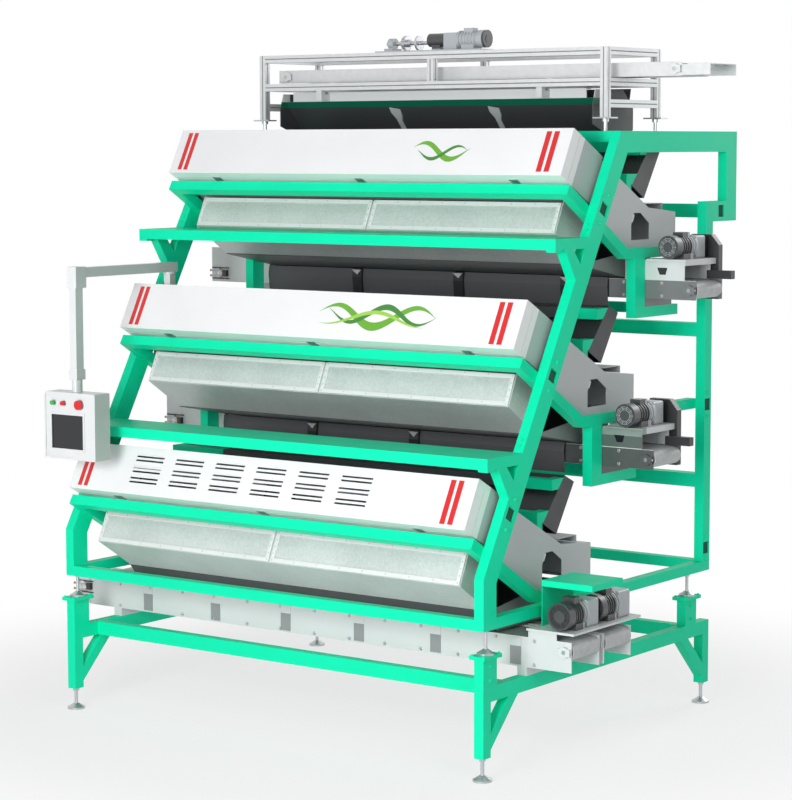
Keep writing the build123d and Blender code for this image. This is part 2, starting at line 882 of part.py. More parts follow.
lanes = [tier_lane(1), tier_lane(2), bottom_lane_at(0), bottom_lane_at(1)]
plate_thickness = 5.0
belt_side_gap = 6.0
shaft_fit = 0.05


def side_plate(lane, y0, low, high, x0, x1):
    """Side plate of a lane with holes for both drum shafts."""
    plate = block(x0, x1, y0, y0 + plate_thickness, low, high)
    for x in (lane.tail_drum_x, lane.drive_drum_x):
        if x + drum_shaft_radius < x1:
            plate -= rod_y(x, y0 - 10, y0 + 20, lane.axis_z, drum_shaft_radius + shaft_fit)
    return plate


def bearing(x, y0, y1, z):
    """Flanged bearing housing bolted to a side plate."""
    ring = rod_y(x, y0, y1, z, 30) + block(x - 38, x + 38, y0, y0 + (y1 - y0) / 3, z - 20, z + 20)
    return ring - rod_y(x, y0 - 10, y1 + 10, z, drum_shaft_radius + shaft_fit)


def conveyor_frame(lane, skirts):
    """Side plates, cross spacers, slider bed and bearings of one lane."""
    y1 = lane.y0 + lane.width
    plate_end = lane.drive_drum_x + 40
    front = side_plate(lane, lane.y0, lane.low, lane.high, lane.tail_x, plate_end)
    rear = side_plate(lane, y1 - plate_thickness, lane.low, lane.high, lane.tail_x, plate_end)
    pieces = [front, rear]
    bed_z = lane.high - belt_clear - belt_thickness - 0.5
    inner = (lane.y0 + plate_thickness, y1 - plate_thickness)
    bed = block(lane.tail_drum_x + 70, lane.drive_drum_x - 70, *inner, bed_z - 4, bed_z)
    pieces.append(bed)
    for share in (0.1, 0.5, 0.9):
        x = lane.tail_x + share * (lane.drive_x - lane.tail_x)
        pieces.append(rod_y(x, *inner, bed_z - 4 - 20, 12))
    for x in (lane.tail_drum_x, lane.drive_drum_x):
        pieces.append(bearing(x, lane.y0 - 18, lane.y0, lane.axis_z))
    return pieces


def tier_conveyor(tier):
    lane = tier_lane(tier)
    y0, z0 = tier_origin(tier)
    y1 = lane.y0 + lane.width
    pieces = conveyor_frame(lane, True)
    skirt_high = z0 + belt_skirt_high
    for y in (lane.y0, y1 - plate_thickness):
        margin = lower_box_margin - 4
        for x0, x1 in ((lane.tail_x, margin), (frame_width - margin, lane.drive_x - 40)):
            pieces.append(block(x0, x1, y, y + plate_thickness, lane.high, skirt_high))
    saddle = block(tube, 2 * tube, lane.y0, y1, z0 + hanger_low + tube, lane.low)
    pieces += both_sides(saddle)
    shelf = block(
        lane.drive_x - 270, lane.drive_x - 12, lane.y0 - 40, y1 + 10, skirt_high, skirt_high + 10
    )
    rim = block(lane.drive_x - 16, lane.drive_x - 12, lane.y0 - 40, y1 + 10, skirt_high - 24, skirt_high)
    pieces.append(shelf + rim)
    return pieces


def bottom_conveyor():
    pieces = []
    for index in (0, 1):
        lane = bottom_lane_at(index)
        pieces += conveyor_frame(lane, False)
    first = bottom_lane_at(0)
    for step in range(6):
        x = 245 + step * 530
        pieces.append(block(x, x + 70, first.y0 - 4, first.y0, first.low + 10, first.high - 10))
    far = bottom_front_y + 2 * bottom_lane
    shelf_z = first.high + 40
    shelf = block(first.drive_x - 240, first.drive_x + 60, first.y0 - 20, far + 20, shelf_z, shelf_z + 12)
    pieces.append(shelf)
    for y in (first.y0, far - bottom_lane + bottom_width - plate_thickness):
        pieces.append(block(first.drive_x - 240, first.drive_x - 60, y, y + plate_thickness, first.high, shelf_z))
    saddle = block(0, tube, first.y0, far - bottom_lane + bottom_width, rail_top, first.low)
    pieces += both_sides(saddle)
    return pieces


def belt_loop(lane):
    """Endless belt around both drums of a lane."""
    outer_r = lane.radius + belt_thickness
    x0, x1 = lane.tail_drum_x, lane.drive_drum_x
    y0 = lane.y0 + plate_thickness + belt_side_gap
    y1 = lane.y0 + lane.width - plate_thickness - belt_side_gap

    def stadium(radius, front, rear):
        length = x1 - x0
        plane = Plane(origin=((x0 + x1) / 2, rear, lane.axis_z), x_dir=(1, 0, 0), z_dir=(0, -1, 0))
        return extrude(plane * SlotCenterToCenter(length, 2 * radius), amount=rear - front)

    return stadium(outer_r, y0, y1) - stadium(lane.radius + run_gap, y0 - 1, y1 + 1)


def drum(lane, x, past_front, past_rear):
    """Drum with its shaft; the drive drum shaft reaches past the rear plate to its sprocket."""
    y0 = lane.y0 + plate_thickness + belt_side_gap + 2
    y1 = lane.y0 + lane.width - plate_thickness - belt_side_gap - 2
    shell = rod_y(x, y0, y1, lane.axis_z, lane.radius)
    shaft = rod_y(x, lane.y0 - past_front, lane.y0 + lane.width + past_rear, lane.axis_z, drum_shaft_radius)
    return shell + shaft


def drive_motor(x, y0, z, radius, length):
    """Flanged electric motor lying along Y: fan cowl in front, ribbed body, terminal box."""
    cowl = rod_y(x, y0, y0 + 0.22 * length, z, radius)
    body = rod_y(x, y0 + 0.22 * length, y0 + 0.72 * length, z, radius * 0.88)
    for step in range(5):
        rib_y = y0 + (0.27 + 0.09 * step) * length
        body = body + rod_y(x, rib_y, rib_y + 0.025 * length, z, radius * 0.97)
    flange = rod_y(x, y0 + 0.72 * length, y0 + 0.78 * length, z, radius)
    box_low = z + radius * 0.55
    terminal = block(
        x - radius * 0.5, x + radius * 0.5, y0 + 0.36 * length, y0 + 0.62 * length, box_low, z + radius * 1.25
    )
    feet = block(
        x - radius * 0.8, x + radius * 0.8, y0 + 0.3 * length, y0 + 0.66 * length, z - radius - 6, z - radius * 0.6
    )
    eye = Pos(x, y0, z) * Rot(90, 0, 0) * Cylinder(radius * 0.45, 4)
    return cowl + body + flange + terminal + feet + eye


def gearbox(x, y0, z, radius):
    """Worm gearbox between a motor and its shelf."""
    half = radius * 0.8
    case = block(x - half, x + half, y0, y0 + 1.45 * radius, z - radius - 6, z + radius * 0.92)
    return fillet(case.edges().filter_by(Axis.Y), radius * 0.2)


def motor_places():
    """Centre X, front Y, centre Z, radius and length of each belt drive motor."""
    places = []
    for tier in (1, 2):
        lane = tier_lane(tier)
        shelf = tier_origin(tier)[1] + belt_skirt_high + 10
        places.append((lane.drive_x - 105, lane.y0 - 75, shelf + motor_radius + 6, motor_radius, 300.0))
    for index in (0, 1):
        lane = bottom_lane_at(index)
        radius = motor_radius * 1.15
        places.append((lane.drive_x - 40, lane.y0 - 5, lane.high + 52 + radius + 6, radius, 240.0))
    return places


def drive_motors():
    """Belt drive motors, each with its gearbox as a solid of its own."""
    pieces = []
    for x, y, z, radius, length in motor_places():
        pieces.append(drive_motor(x, y, z, radius, length))
        pieces.append(gearbox(x, y + 0.78 * length, z, radius))
    return pieces


def chain_guards():
    """Closed covers over the chains from the gearboxes to the drive drums."""
    pieces = []
    for tier in (1, 2):
        lane = tier_lane(tier)
        z0 = tier_origin(tier)[1]
        y0 = lane.y0 + lane.width + 10
        high = z0 + belt_skirt_high + 10 + 71 + 62
        x0, x1 = lane.drive_x - 175, lane.drive_x + 6
        outline = [(x0, lane.low - 8), (x1, lane.low - 8), (x1, high - 60), (x1 - 50, high), (x0, high)]
        pieces.append(prism_y(outline, y0, y0 + 45))
    return pieces


def belt_tensioners():
    """Tail take-up blocks with their screws, and the rubber stops at the drive ends."""
    pieces = []
    for lane in lanes:
        for y0, y1 in ((lane.y0 - 26, lane.y0 - 18), (lane.y0 + lane.width, lane.y0 + lane.width + 8)):
            x = lane.tail_drum_x
            pieces.append(block(x + 42, x + 72, y0, y1 + 18 if y0 < lane.y0 else y1, lane.axis_z - 20, lane.axis_z + 20))
    for tier in (1, 2):
        lane = tier_lane(tier)
        z0 = tier_origin(tier)[1]
        y = lane.y0 + lane.width - 45
        x = lane.drive_x - 40
        pieces.append(block(x, x + 158, y, y + 45, z0 - 600, z0 - 552))
    return pieces


def drive_cover():
    """Folded green cover over the two bottom motors, on the motor shelf."""
    lane = bottom_lane_at(0)
    x0, x1 = lane.drive_x - 205, lane.drive_x + 113
    y0, y1 = lane.y0 + 78, lane.y0 + 388
    high = 1020.0
    shelf = lane.high + 52
    top = block(x0, x1, y0, y1, high - 3, high)
    front = block(x0, x1, y0, y0 + 3, high - 34, high - 3)
    rear = block(x0, x1, y1 - 3, y1, high - 34, high - 3)
    right = block(x1 - 3, x1, y0 + 3, y1 - 3, high - 34, high - 3)
    left = block(x0, x0 + 3, y0, y1, shelf, high - 3)
    return [top + front + rear + right + left]


# Aluminium top frame with its distribution belt and hopper


def top_frame():
    left, right = top_margin, frame_width - top_margin
    front, rear = top_front_y, top_rear_y
    pieces = []
    for x in (left, right - profile):
        for y in (front, rear - profile):
            pieces.append(block(x, x + profile, y, y + profile, top_post_low, top_rail_high))
    for y in (front, rear - profile):
        for high in (top_rail_high, top_mid_high):
            pieces.append(block(left + profile, right - profile, y, y + profile, high - profile, high))
        middle = frame_width / 2 + 18
        pieces.append(
            block(middle, middle + profile, y, y + profile, top_mid_high, top_rail_high - profile)
        )
    for x in (left, right - profile):
        for high in (top_rail_high, top_mid_high, top_side_high):
            pieces.append(block(x, x + profile, front + profile, rear - profile, high - profile, high))
    return pieces


def top_feet():
    pieces = []
    x = top_margin + profile / 2
    for y in (top_front_y + profile / 2, top_rear_y - profile / 2):
        plate = block(x - 60, x + 60, y - 40, y + 40, top_post_low - 8, top_post_low)
        stem = rod_z(x, y, top_support_high + 12, top_post_low - 8, 11)
        pad = rod_z(x, y, top_support_high, top_support_high + 12, 28)
        nut = rod_z(x, y, top_post_low - 26, top_post_low - 8, 20)
        pieces += both_sides(plate + stem + pad + nut)
    return pieces


def top_conveyor():
    lane = top_lane()
    y1 = lane.y0 + lane.width
    pieces = conveyor_frame(lane, False)
    for y0, y in ((top_front_y + profile, lane.y0), (y1, top_rear_y - profile)):
        for x in (left_bearer, frame_width - left_bearer):
            pieces.append(block(x - 20, x + 20, y0, y, top_mid_high - 30, top_mid_high))
    for x in (left_bearer, frame_width - left_bearer):
        pieces.append(block(x - 20, x + 20, lane.y0, y1, top_mid_high - 30, top_mid_high))
        for y in (lane.y0, y1 - plate_thickness):
            pieces.append(block(x - 20, x + 20, y, y + plate_thickness, top_mid_high, lane.low))
    lip = block(lane.drive_x + 70, lane.drive_x + 215, lane.y0, y1, lane.high - 16, lane.high - 12)
    arms = [
        block(lane.drive_drum_x + 40, lane.drive_x + 215, y, y + plate_thickness, lane.high - 76, lane.high - 16)
        for y in (lane.y0, y1 - plate_thickness)
    ]
    return pieces + [lip] + arms


left_bearer = 700.0


def top_hopper():
    """Distribution hopper: folded walls between shaped end plates, with two inner partitions."""
    left, right = top_body_margin, frame_width - top_body_margin
    out_y0 = tier_y + feed_head[0][0]
    out_y1 = tier_y + feed_head[1][0]
    low = tier_z + feed_head[0][1] + 14
    rear_y = 2040.0
    run = (out_y0 - 3 - lip_y) / (lip_low - low)
    front = [(lip_y, lip_low), (lip_y + 6, lip_low), (out_y0 + 3, low), (out_y0 - 3, low)]
    back = [(rear_y, lip_high), (rear_y - 6, lip_high), (out_y1 - 3, low), (out_y1 + 3, low)]
    pieces = [prism_x(front, left + 6, right - 6), prism_x(back, left + 6, right - 6)]
    end = [(lip_y - 50, lip_low - 40), (lip_y - 20, lip_high - 8), (rear_y - 100, lip_high - 8),
           (rear_y + 14, lip_low - 60), (rear_y + 14, low + 60), (out_y1 + 3, low), (out_y0 - 3, low),
           (lip_y - 50, low + 90)]
    pieces += both_sides(prism_x(end, left, left + 6))
    for share in (1 / 3, 2 / 3):
        x = left + share * (right - left)
        rib = [(lip_y + 6 + 60 * run, lip_low - 60), (rear_y - 50, lip_low - 60), (out_y1 - 18, low + 20),
               (out_y0 + 3 - 20 * run, low + 20)]
        pieces.append(prism_x(rib, x - 3, x + 3))
    return pieces


def hopper_lip():
    left, right = top_hopper_margin, frame_width - top_hopper_margin
    face = block(left, right, lip_y - 6, lip_y, lip_low, lip_high)
    fold = block(left, right, lip_y, lip_y + 40, lip_high - 6, lip_high)
    posts = []
    for x in (left + 250, right - 290):
        posts.append(block(x, x + 40, top_front_y + profile, lip_y - 6, lip_low + 4, lip_low + 44))
        posts.append(block(x, x + 40, top_front_y + 8, top_front_y + profile, lip_low + 4, top_mid_high - profile))
    return [face + fold, posts[0] + posts[1], posts[2] + posts[3]]


top_drive_z = 3966.0
top_drive_y = 1620.0


def top_motor():
    """Geared motor on the top rails with its base plate, tube and bearing block."""
    base = block(1130, 1900, top_front_y, top_drive_y + 85, top_rail_high, top_rail_high + 8)
    motor = Pos(1895, top_drive_y + 30, top_drive_z) * Rot(0, 0, 90) * drive_motor(0, 0, 0, 52, 250)
    case = block(1606, 1700, top_drive_y - 15, top_drive_y + 75, top_rail_high + 8, top_drive_z + 40)
    guard = rod_x(1480, 1606, top_drive_y + 30, top_drive_z, 40)
    saddle = block(1510, 1570, top_drive_y, top_drive_y + 60, top_rail_high + 8, top_drive_z - 30)
    return [base, motor + case + guard + saddle]


def bearing_block():
    foot = block(1170, 1230, top_drive_y - 20, top_drive_y + 80, top_rail_high + 8, top_rail_high + 24)
    ring = rod_x(1180, 1220, top_drive_y + 30, top_drive_z - 14, 32)
    neck = block(1180, 1220, top_drive_y + 10, top_drive_y + 50, top_rail_high + 24, top_drive_z - 14)
    body = foot + ring + neck
    return [body - rod_x(1100, 1300, top_drive_y + 30, top_drive_z - 14, 12 + shaft_fit)]


def sprocket_shaft():
    """Cross shaft of the top drive with a toothed wheel and a crank disc."""
    y, z = top_drive_y + 30, top_drive_z - 14
    shaft = rod_x(1160, 1479, y, z, 12)
    wheel = toothed_wheel(1290, 22, y, z, 46, 18)
    disc = rod_x(1390, 1404, y, z, 44)
    hub = rod_x(1270, 1340, y, z, 22)
    return [shaft + wheel + disc + hub]


def toothed_wheel(x, width, y, z, radius, teeth):
    """Chain wheel with straight-sided teeth, its axis along X."""
    points = []
    for tooth in range(teeth):
        for share, reach in ((-0.3, 0.88), (-0.14, 1.0), (0.14, 1.0), (0.3, 0.88)):
            turn = radians((tooth + share) * 360 / teeth)
            points.append((y + radius * reach * cos(turn), z + radius * reach * sin(turn)))
    return prism_x(points, x, x + width)


# Operator console


def pedestal_foot_z():
    return tilted(pedestal_depth, door_height)[1] + tier_origin(2)[1]


pedestal_depth = (pedestal_y - (tier_y - tier_pitch_y) - door_height * sin(radians(face_tilt))) / cos(radians(face_tilt))
pivot_radius = 26.0


def console_pedestal():
    """Wedge plate, column and swivel spigot that stand on the second tier."""
    half = 40.0
    base = tilted_box(2, pedestal_depth - half, pedestal_depth + half, door_height, door_height + 10,
                      console_x - half, console_x + half)
    column = prism_x(
        [(pedestal_y - 24, pedestal_foot_z() + 16), (pedestal_y + 24, pedestal_foot_z() - 9),
         (pedestal_y + 24, arm_low - 12), (pedestal_y - 24, arm_low - 12)],
        console_x - 24, console_x + 24,
    )
    collar = rod_z(console_x, pedestal_y, arm_low - 12, arm_low - run_gap, 38)
    spigot = rod_z(console_x, pedestal_y, arm_low - run_gap, arm_low + arm_height - 8, pivot_radius)
    return [base + column + collar + spigot]


def console_arm():
    """Square arm that swivels on the pedestal, with its elbow and drop tube."""
    half = 30.0
    arm = block(console_x - half, console_x + half, elbow_y - half, pedestal_y + 40, arm_low, arm_low + arm_height)
    elbow = block(console_x - 36, console_x + 36, elbow_y - 36, elbow_y + 50, arm_low - 60, arm_low + arm_height + 6)
    tube_low = console_high + 72
    drop = block(console_x - 25, console_x + 25, elbow_y - half, elbow_y + half, tube_low, arm_low - 60)
    sleeve = block(console_x - 32, console_x + 32, elbow_y - half - 6, elbow_y + half + 6, tube_low, tube_low + 60)
    body = arm + elbow + drop + sleeve
    bore = rod_z(console_x, pedestal_y, arm_low - 1, arm_low + arm_height - 8 + run_gap, pivot_radius + 0.08)
    pin = rod_z(console_x, elbow_y, console_high + 12, tube_low, 16)
    return [body - bore + pin]


def console_box():
    """Folded console case with a raised front rim, a screen recess and a neck with a swivel bore."""
    half = console_width / 2
    y0 = elbow_y - 70
    case = block(console_x - half, console_x + half, y0, y0 + console_depth, console_low, console_high)
    case = fillet(case.edges().filter_by(Axis.Y), 10)
    recess = block(console_x - half + 12, console_x + half - 12, y0 - 1, y0 + 4, console_low + 12, console_high - 12)
    case -= recess
    case -= block(*screen_span(), y0 - 1, y0 + 16, *screen_rise())
    neck = rod_z(console_x, elbow_y, console_high, console_high + 72 - run_gap, 30)
    case = case + neck
    case -= rod_z(console_x, elbow_y, console_high + 12 - run_gap, console_high + 80, 16.08)
    for x, z, radius, reach in button_places().values():
        case -= rod_y(x, y0 - 1, y0 + 30, z, radius + shaft_fit)
    return [case]


def screen_span():
    return console_x - 145, console_x + 105


def screen_rise():
    return console_low + 60, console_low + 260


def console_screen():
    y0 = elbow_y - 70
    x0, x1 = screen_span()
    z0, z1 = screen_rise()
    return [block(x0, x1, y0 + 8, y0 + 16, z0, z1)]


def button_places():
    """Centre X, Z, stem radius and cap reach of each control on the console front."""
    z = console_high - 62
    return {
        "start_button": (console_x - 125, z, 8.0, 13.0),
        "stop_button": (console_x - 45, z, 8.0, 13.0),
        "estop_button": (console_x + 80, z - 4, 11.0, 27.0),
    }


def push_button(name):
    """Button cap on a stem that slides in the console front."""
    x, z, radius, cap = button_places()[name]
    y0 = elbow_y - 70 + 4
    travel_room = 8.0
    stem = rod_y(x, y0 - travel_room, y0 + 20, z, radius)
    head = rod_y(x, y0 - travel_room - 14, y0 - travel_room, z, cap)
    return [stem + head]


keep("stand_frame", stand_frame())
keep("stub_posts", stub_posts())
keep("levelling_feet", levelling_feet())
keep("platform_frame", platform_frame())
left_side = side_frame()
keep("side_frame_left", left_side)
keep("side_frame_right", [both_sides(piece)[1] for piece in left_side])
keep("cross_tubes", cross_tubes())
keep("step_rails", step_rails())
keep("tier_brackets", tier_brackets())
keep("conveyor_hangers", conveyor_hangers())
keep("optical_boxes", optical_boxes())
keep("rear_boxes", rear_boxes())
keep("lower_boxes", lower_boxes())
keep("lower_panels", lower_panels())
for tier in range(1, tier_count + 1):
    keep(f"fascia_door_{tier}", fascia_door(tier))
keep("door_hardware", door_hinges() + door_catches() + flap_hinges())
keep("chute_plates", chute_plates())
keep("camera_units", camera_units())
keep("lamp_bars", lamp_bars())
keep("ejector_bars", ejector_bars())
keep("feeder_trays", feeder_trays())
keep("feed_hoppers", feed_hoppers())
keep("hopper_tubes", hopper_tubes())
for tier in range(1, tier_count + 1):
    keep(f"flap_tray_{tier}", flap_tray(tier))
keep("collecting_hoppers", collecting_hoppers())
keep("conveyor_frame_1", tier_conveyor(1))
keep("conveyor_frame_2", tier_conveyor(2))
keep("conveyor_frame_3", bottom_conveyor())
keep("conveyor_belts", [belt_loop(lane) for lane in lanes + [top_lane()]])
for number, lane in enumerate(lanes, start=1):
    keep(f"drive_drum_{number}", [drum(lane, lane.drive_drum_x, 16, 10)])
    keep(f"tail_drum_{number}", [drum(lane, lane.tail_drum_x, 16, 0)])
keep("drive_motors", drive_motors())
keep("chain_guards", chain_guards())
keep("belt_tensioners", belt_tensioners())
keep("drive_cover", drive_cover())
keep("top_frame", top_frame())
keep("top_feet", top_feet())
keep("top_conveyor_frame", top_conveyor())
keep("top_drive_drum", [drum(top_lane(), top_lane().drive_drum_x, 16, 0)])
keep("top_tail_drum", [drum(top_lane(), top_lane().tail_drum_x, 16, 0)])
keep("top_hopper", top_hopper() + hopper_lip())
keep("top_motor", top_motor() + bearing_block())
keep("sprocket_shaft", sprocket_shaft())
keep("console_pedestal", console_pedestal())
keep("console_arm", console_arm())
keep("console_box", console_box())
keep("console_screen", console_screen())
for name in button_places():
    keep(name, push_button(name))

# Move the machine so that its bottom centre is the origin, and write one file per node.
corners = [corner for solids in nodes.values() for solid in solids for corner in solid.vertices()]
middle_x = (min(corner.X for corner in corners) + max(corner.X for corner in corners)) / 2
middle_y = (min(corner.Y for corner in corners) + max(corner.Y for corner in corners)) / 2
bottom = min(corner.Z for corner in corners)
shift = Pos(-middle_x, -middle_y, -bottom)
for name, solids in nodes.items():
    export_step(Compound(children=[shift * solid for solid in solids]), f"parts/{name}.step")
print(len(nodes), "nodes, moved by", shift.position)
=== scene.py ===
import math

import bmesh
import bpy
from mathutils import Matrix, Vector


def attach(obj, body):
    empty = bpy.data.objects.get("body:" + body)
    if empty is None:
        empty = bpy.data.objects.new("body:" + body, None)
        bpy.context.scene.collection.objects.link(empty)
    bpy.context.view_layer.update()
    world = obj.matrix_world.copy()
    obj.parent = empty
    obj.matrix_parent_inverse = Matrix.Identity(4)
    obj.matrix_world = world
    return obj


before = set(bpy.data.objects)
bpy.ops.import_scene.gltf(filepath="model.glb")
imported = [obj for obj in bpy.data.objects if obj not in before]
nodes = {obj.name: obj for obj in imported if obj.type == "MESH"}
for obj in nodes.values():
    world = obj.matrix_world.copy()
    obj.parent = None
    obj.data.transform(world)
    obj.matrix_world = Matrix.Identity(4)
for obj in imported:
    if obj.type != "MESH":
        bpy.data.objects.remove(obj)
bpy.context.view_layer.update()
print("frame loaded:", len(nodes), "nodes")

# layout numbers of the machine, in metres from the front left corner of the frame on the floor
layout = {
    # from that corner to the middle of the machine's box
    "shiftX": -1.525,
    "shiftY": -1.2135,
    "tiers": (1, 2, 3),
    "tilt": math.radians(28),
    # depth and height of the upper tier, and the step to the next one
    "tierStart": (0.857, 3.178),
    "tierPitch": (-0.456, -0.916),
    # side frames: leaning front posts and the access windows
    "frameWidth": 3.0,
    "lean": math.radians(30),
    "leanFoot": 1.084,
    "frontWindows": (1.399, 2.104, 2.990),
    "windowInset": 0.0693,
    "rearWindows": (0.945, 1.807),
    "rearWindowY": 2.355,
    # belts: front plane, lower and upper edge of the side plate, the two upper ones first
    "lanes": ((1.719, 2.466, 2.576), (1.263, 1.550, 1.660), (0.410, 0.552, 0.717)),
}


def atX(x):
    return x + layout["shiftX"]


def atY(y):
    return y + layout["shiftY"]


def place(x, y, z):
    return Vector((atX(x), atY(y), z))


def tierCorner(tier):
    # depth and height of the lower front edge of a tier's door
    return [layout["tierStart"][i] + (tier - 1) * layout["tierPitch"][i] for i in (0, 1)]


def tierPoint(tier, depth, rise, x):
    # depth runs to the rear along the tilted housing, rise up its face
    c, s = math.cos(layout["tilt"]), math.sin(layout["tilt"])
    y0, z0 = tierCorner(tier)
    return place(x, y0 + depth * c + rise * s, z0 + rise * c - depth * s)


def tierOut():
    return Vector((0, -math.cos(layout["tilt"]), math.sin(layout["tilt"])))


def leanDepth(z):
    # depth of the leaning posts' front face at a height
    return (z - layout["leanFoot"]) * math.tan(layout["lean"])


# camera at the photograph's view
view = {
    "position": place(10.25665, -10.60469, 3.35147),
    "yaw": math.radians(-36.25),
    "pitch": math.radians(-6.0),
    "roll": math.radians(-0.1),
    "focalPixels": 2492.4,
    "centre": (403.12, 405.59),
    "size": (792, 800),
    "sensor": 36.0,
    "clipEnd": 200,
}


def addObject(name, data):
    thing = bpy.data.objects.new(name, data)
    bpy.context.scene.collection.objects.link(thing)
    return thing


def makeCamera():
    yaw, pitch, roll = view["yaw"], view["pitch"], view["roll"]
    ahead = Vector((math.sin(yaw) * math.cos(pitch), math.cos(yaw) * math.cos(pitch), math.sin(pitch)))
    right = Vector((math.cos(yaw), -math.sin(yaw), 0))
    up = right.cross(ahead)
    turnedRight = right * math.cos(roll) + up * math.sin(roll)
    turnedUp = -right * math.sin(roll) + up * math.cos(roll)
    data = bpy.data.cameras.new("camera")
    width, height = view["size"]
    longest = max(width, height)
    data.sensor_width = view["sensor"]
    data.lens = view["sensor"] * view["focalPixels"] / longest
    data.shift_x = -(view["centre"][0] - width / 2) / longest
    data.shift_y = (view["centre"][1] - height / 2) / longest
    data.clip_end = view["clipEnd"]
    camera = addObject("camera", data)
    turn = Matrix((turnedRight, turnedUp, -ahead)).transposed().to_4x4()
    camera.matrix_world = Matrix.Translation(view["position"]) @ turn
    bpy.context.scene.camera = camera


makeCamera()
print("camera set")


# node maths: a wrapped socket that takes Python operators
class Sock:
    def __init__(self, tree, socket):
        self.tree = tree
        self.socket = socket

    def math(self, operation, *values):
        return nodeOf(self.tree, "ShaderNodeMath", {"operation": operation}, [self, *values])

    def __add__(self, other):
        return self.math("ADD", other)

    def __sub__(self, other):
        return self.math("SUBTRACT", other)

    def __rsub__(self, other):
        return nodeOf(self.tree, "ShaderNodeMath", {"operation": "SUBTRACT"}, [other, self])

    def __mul__(self, other):
        return self.math("MULTIPLY", other)

    def __gt__(self, other):
        return self.math("GREATER_THAN", other)

    def __lt__(self, other):
        return self.math("LESS_THAN", other)

    __radd__ = __add__
    __rmul__ = __mul__

    def largest(self, other):
        return self.math("MAXIMUM", other)

    def size(self):
        return self.math("ABSOLUTE")

    def between(self, low, high):
        return (self > low) * (self < high)


def nodeOf(tree, kind, settings=None, values=None, output=0):
    # one node: settings first, then the values or links of its sockets
    node = tree.nodes.new(kind)
    for key, value in (settings or {}).items():
        if key == "stops":
            ramp = node.color_ramp
            while len(ramp.elements) < len(value):
                ramp.elements.new(0.5)
            for element, (spot, colour) in zip(ramp.elements, value):
                element.position = spot
                element.color = colour
        else:
            setattr(node, key, value)
    pairs = values.items() if isinstance(values, dict) else enumerate(values or [])
    for key, value in pairs:
        if isinstance(value, Sock):
            tree.links.new(value.socket, node.inputs[key])
        else:
            node.inputs[key].default_value = value
    return Sock(tree, node.outputs[output])


def anyOf(masks):
    # 1 where at least one of the masks is 1
    whole = masks[0]
    for mask in masks[1:]:
        whole = whole.largest(mask)
    return whole


def rgb(r, g, b):
    return (r, g, b, 1.0)


def fromScreen(r, g, b):
    # screen colour 0..255 to a linear shader colour
    def lin(v):
        v /= 255
        return v / 12.92 if v <= 0.04045 else ((v + 0.055) / 1.055) ** 2.4

    return rgb(lin(r), lin(g), lin(b))


class Finish:
    # a material under construction, with its principled shader
    def __init__(self, name):
        self.material = bpy.data.materials.new(name)
        self.material.use_nodes = True
        self.tree = self.material.node_tree
        self.shader = self.tree.nodes["Principled BSDF"]
        self.coords = self.node("ShaderNodeTexCoord", output=3)

    def node(self, kind, settings=None, values=None, output=0):
        return nodeOf(self.tree, kind, settings, values, output)

    def noise(self, scale, detail=3.0, rough=0.5, stretch=(1, 1, 1)):
        spot = self.node("ShaderNodeMapping", {}, {"Vector": self.coords, "Scale": stretch})
        values = {"Vector": spot, "Scale": scale, "Detail": detail, "Roughness": rough}
        return self.node("ShaderNodeTexNoise", {}, values)

    def split(self, vector):
        node = self.node("ShaderNodeSeparateXYZ", {}, [vector]).socket.node
        return [Sock(self.tree, node.outputs[i]) for i in range(3)]

    def axes(self):
        return self.split(self.coords)

    def facing(self):
        # normal in the piece's own space, so it turns with the piece
        return self.split(self.node("ShaderNodeTexCoord", output=1))

    def mix(self, factor, first, second):
        values = {0: factor, 6: first, 7: second}
        return self.node("ShaderNodeMix", {"data_type": "RGBA"}, values, output=2)

    def ramp(self, value, stops):
        return self.node("ShaderNodeValToRGB", {"stops": stops}, [value])

    def feed(self, key, value):
        if isinstance(value, Sock):
            self.tree.links.new(value.socket, self.shader.inputs[key])
        else:
            self.shader.inputs[key].default_value = value

    def repaint(self, mask, colour):
        # another colour where the mask is 1, over what is there so far
        under = Sock(self.tree, self.shader.inputs["Base Color"].links[0].from_socket)
        self.feed("Base Color", self.mix(mask, under, colour))

    def bump(self, height, strength, distance):
        normal = self.node("ShaderNodeBump", {}, {"Strength": strength, "Distance": distance, "Height": height})
        self.feed("Normal", normal)


def scaled(colour, k):
    return rgb(*[min(channel * k, 1) for channel in colour[:3]])


tones = {
    "green": fromScreen(4, 222, 170),
    "white": rgb(0.80, 0.81, 0.82),
    "housing": fromScreen(184, 189, 191),
    "cameraBox": fromScreen(176, 181, 183),
    "conveyor": fromScreen(206, 209, 210),
    "conveyorDark": fromScreen(58, 59, 62),
    "conveyorStrap": fromScreen(140, 141, 144),
    "charcoal": fromScreen(56, 57, 60),
    "covered": fromScreen(76, 77, 80),
    "outletEnd": fromScreen(128, 130, 131),
    "hardware": fromScreen(32, 33, 35),
    "gearbox": fromScreen(168, 174, 178),
    "motorDark": fromScreen(60, 62, 65),
    "console": fromScreen(214, 217, 218),
    # painted shade for the sides of the console arm and box
    "consoleSideShade": fromScreen(164, 174, 170),
    "belt": fromScreen(178, 181, 182),
    "groove": fromScreen(112, 114, 116),
    "clip": fromScreen(176, 178, 180),
    "lip": rgb(0.62, 0.63, 0.64),
    "rim": rgb(0.70, 0.72, 0.72),
    "dust": rgb(0.62, 0.62, 0.58),
    "steel": rgb(0.52, 0.53, 0.55),
    "alloy": rgb(0.66, 0.67, 0.68),
    "brass": rgb(0.55, 0.42, 0.20),
    "lamp": rgb(0.85, 0.88, 0.92),
    "screen": rgb(0.012, 0.013, 0.016),
    "start": fromScreen(36, 170, 70),
    "stop": fromScreen(206, 30, 34),
}

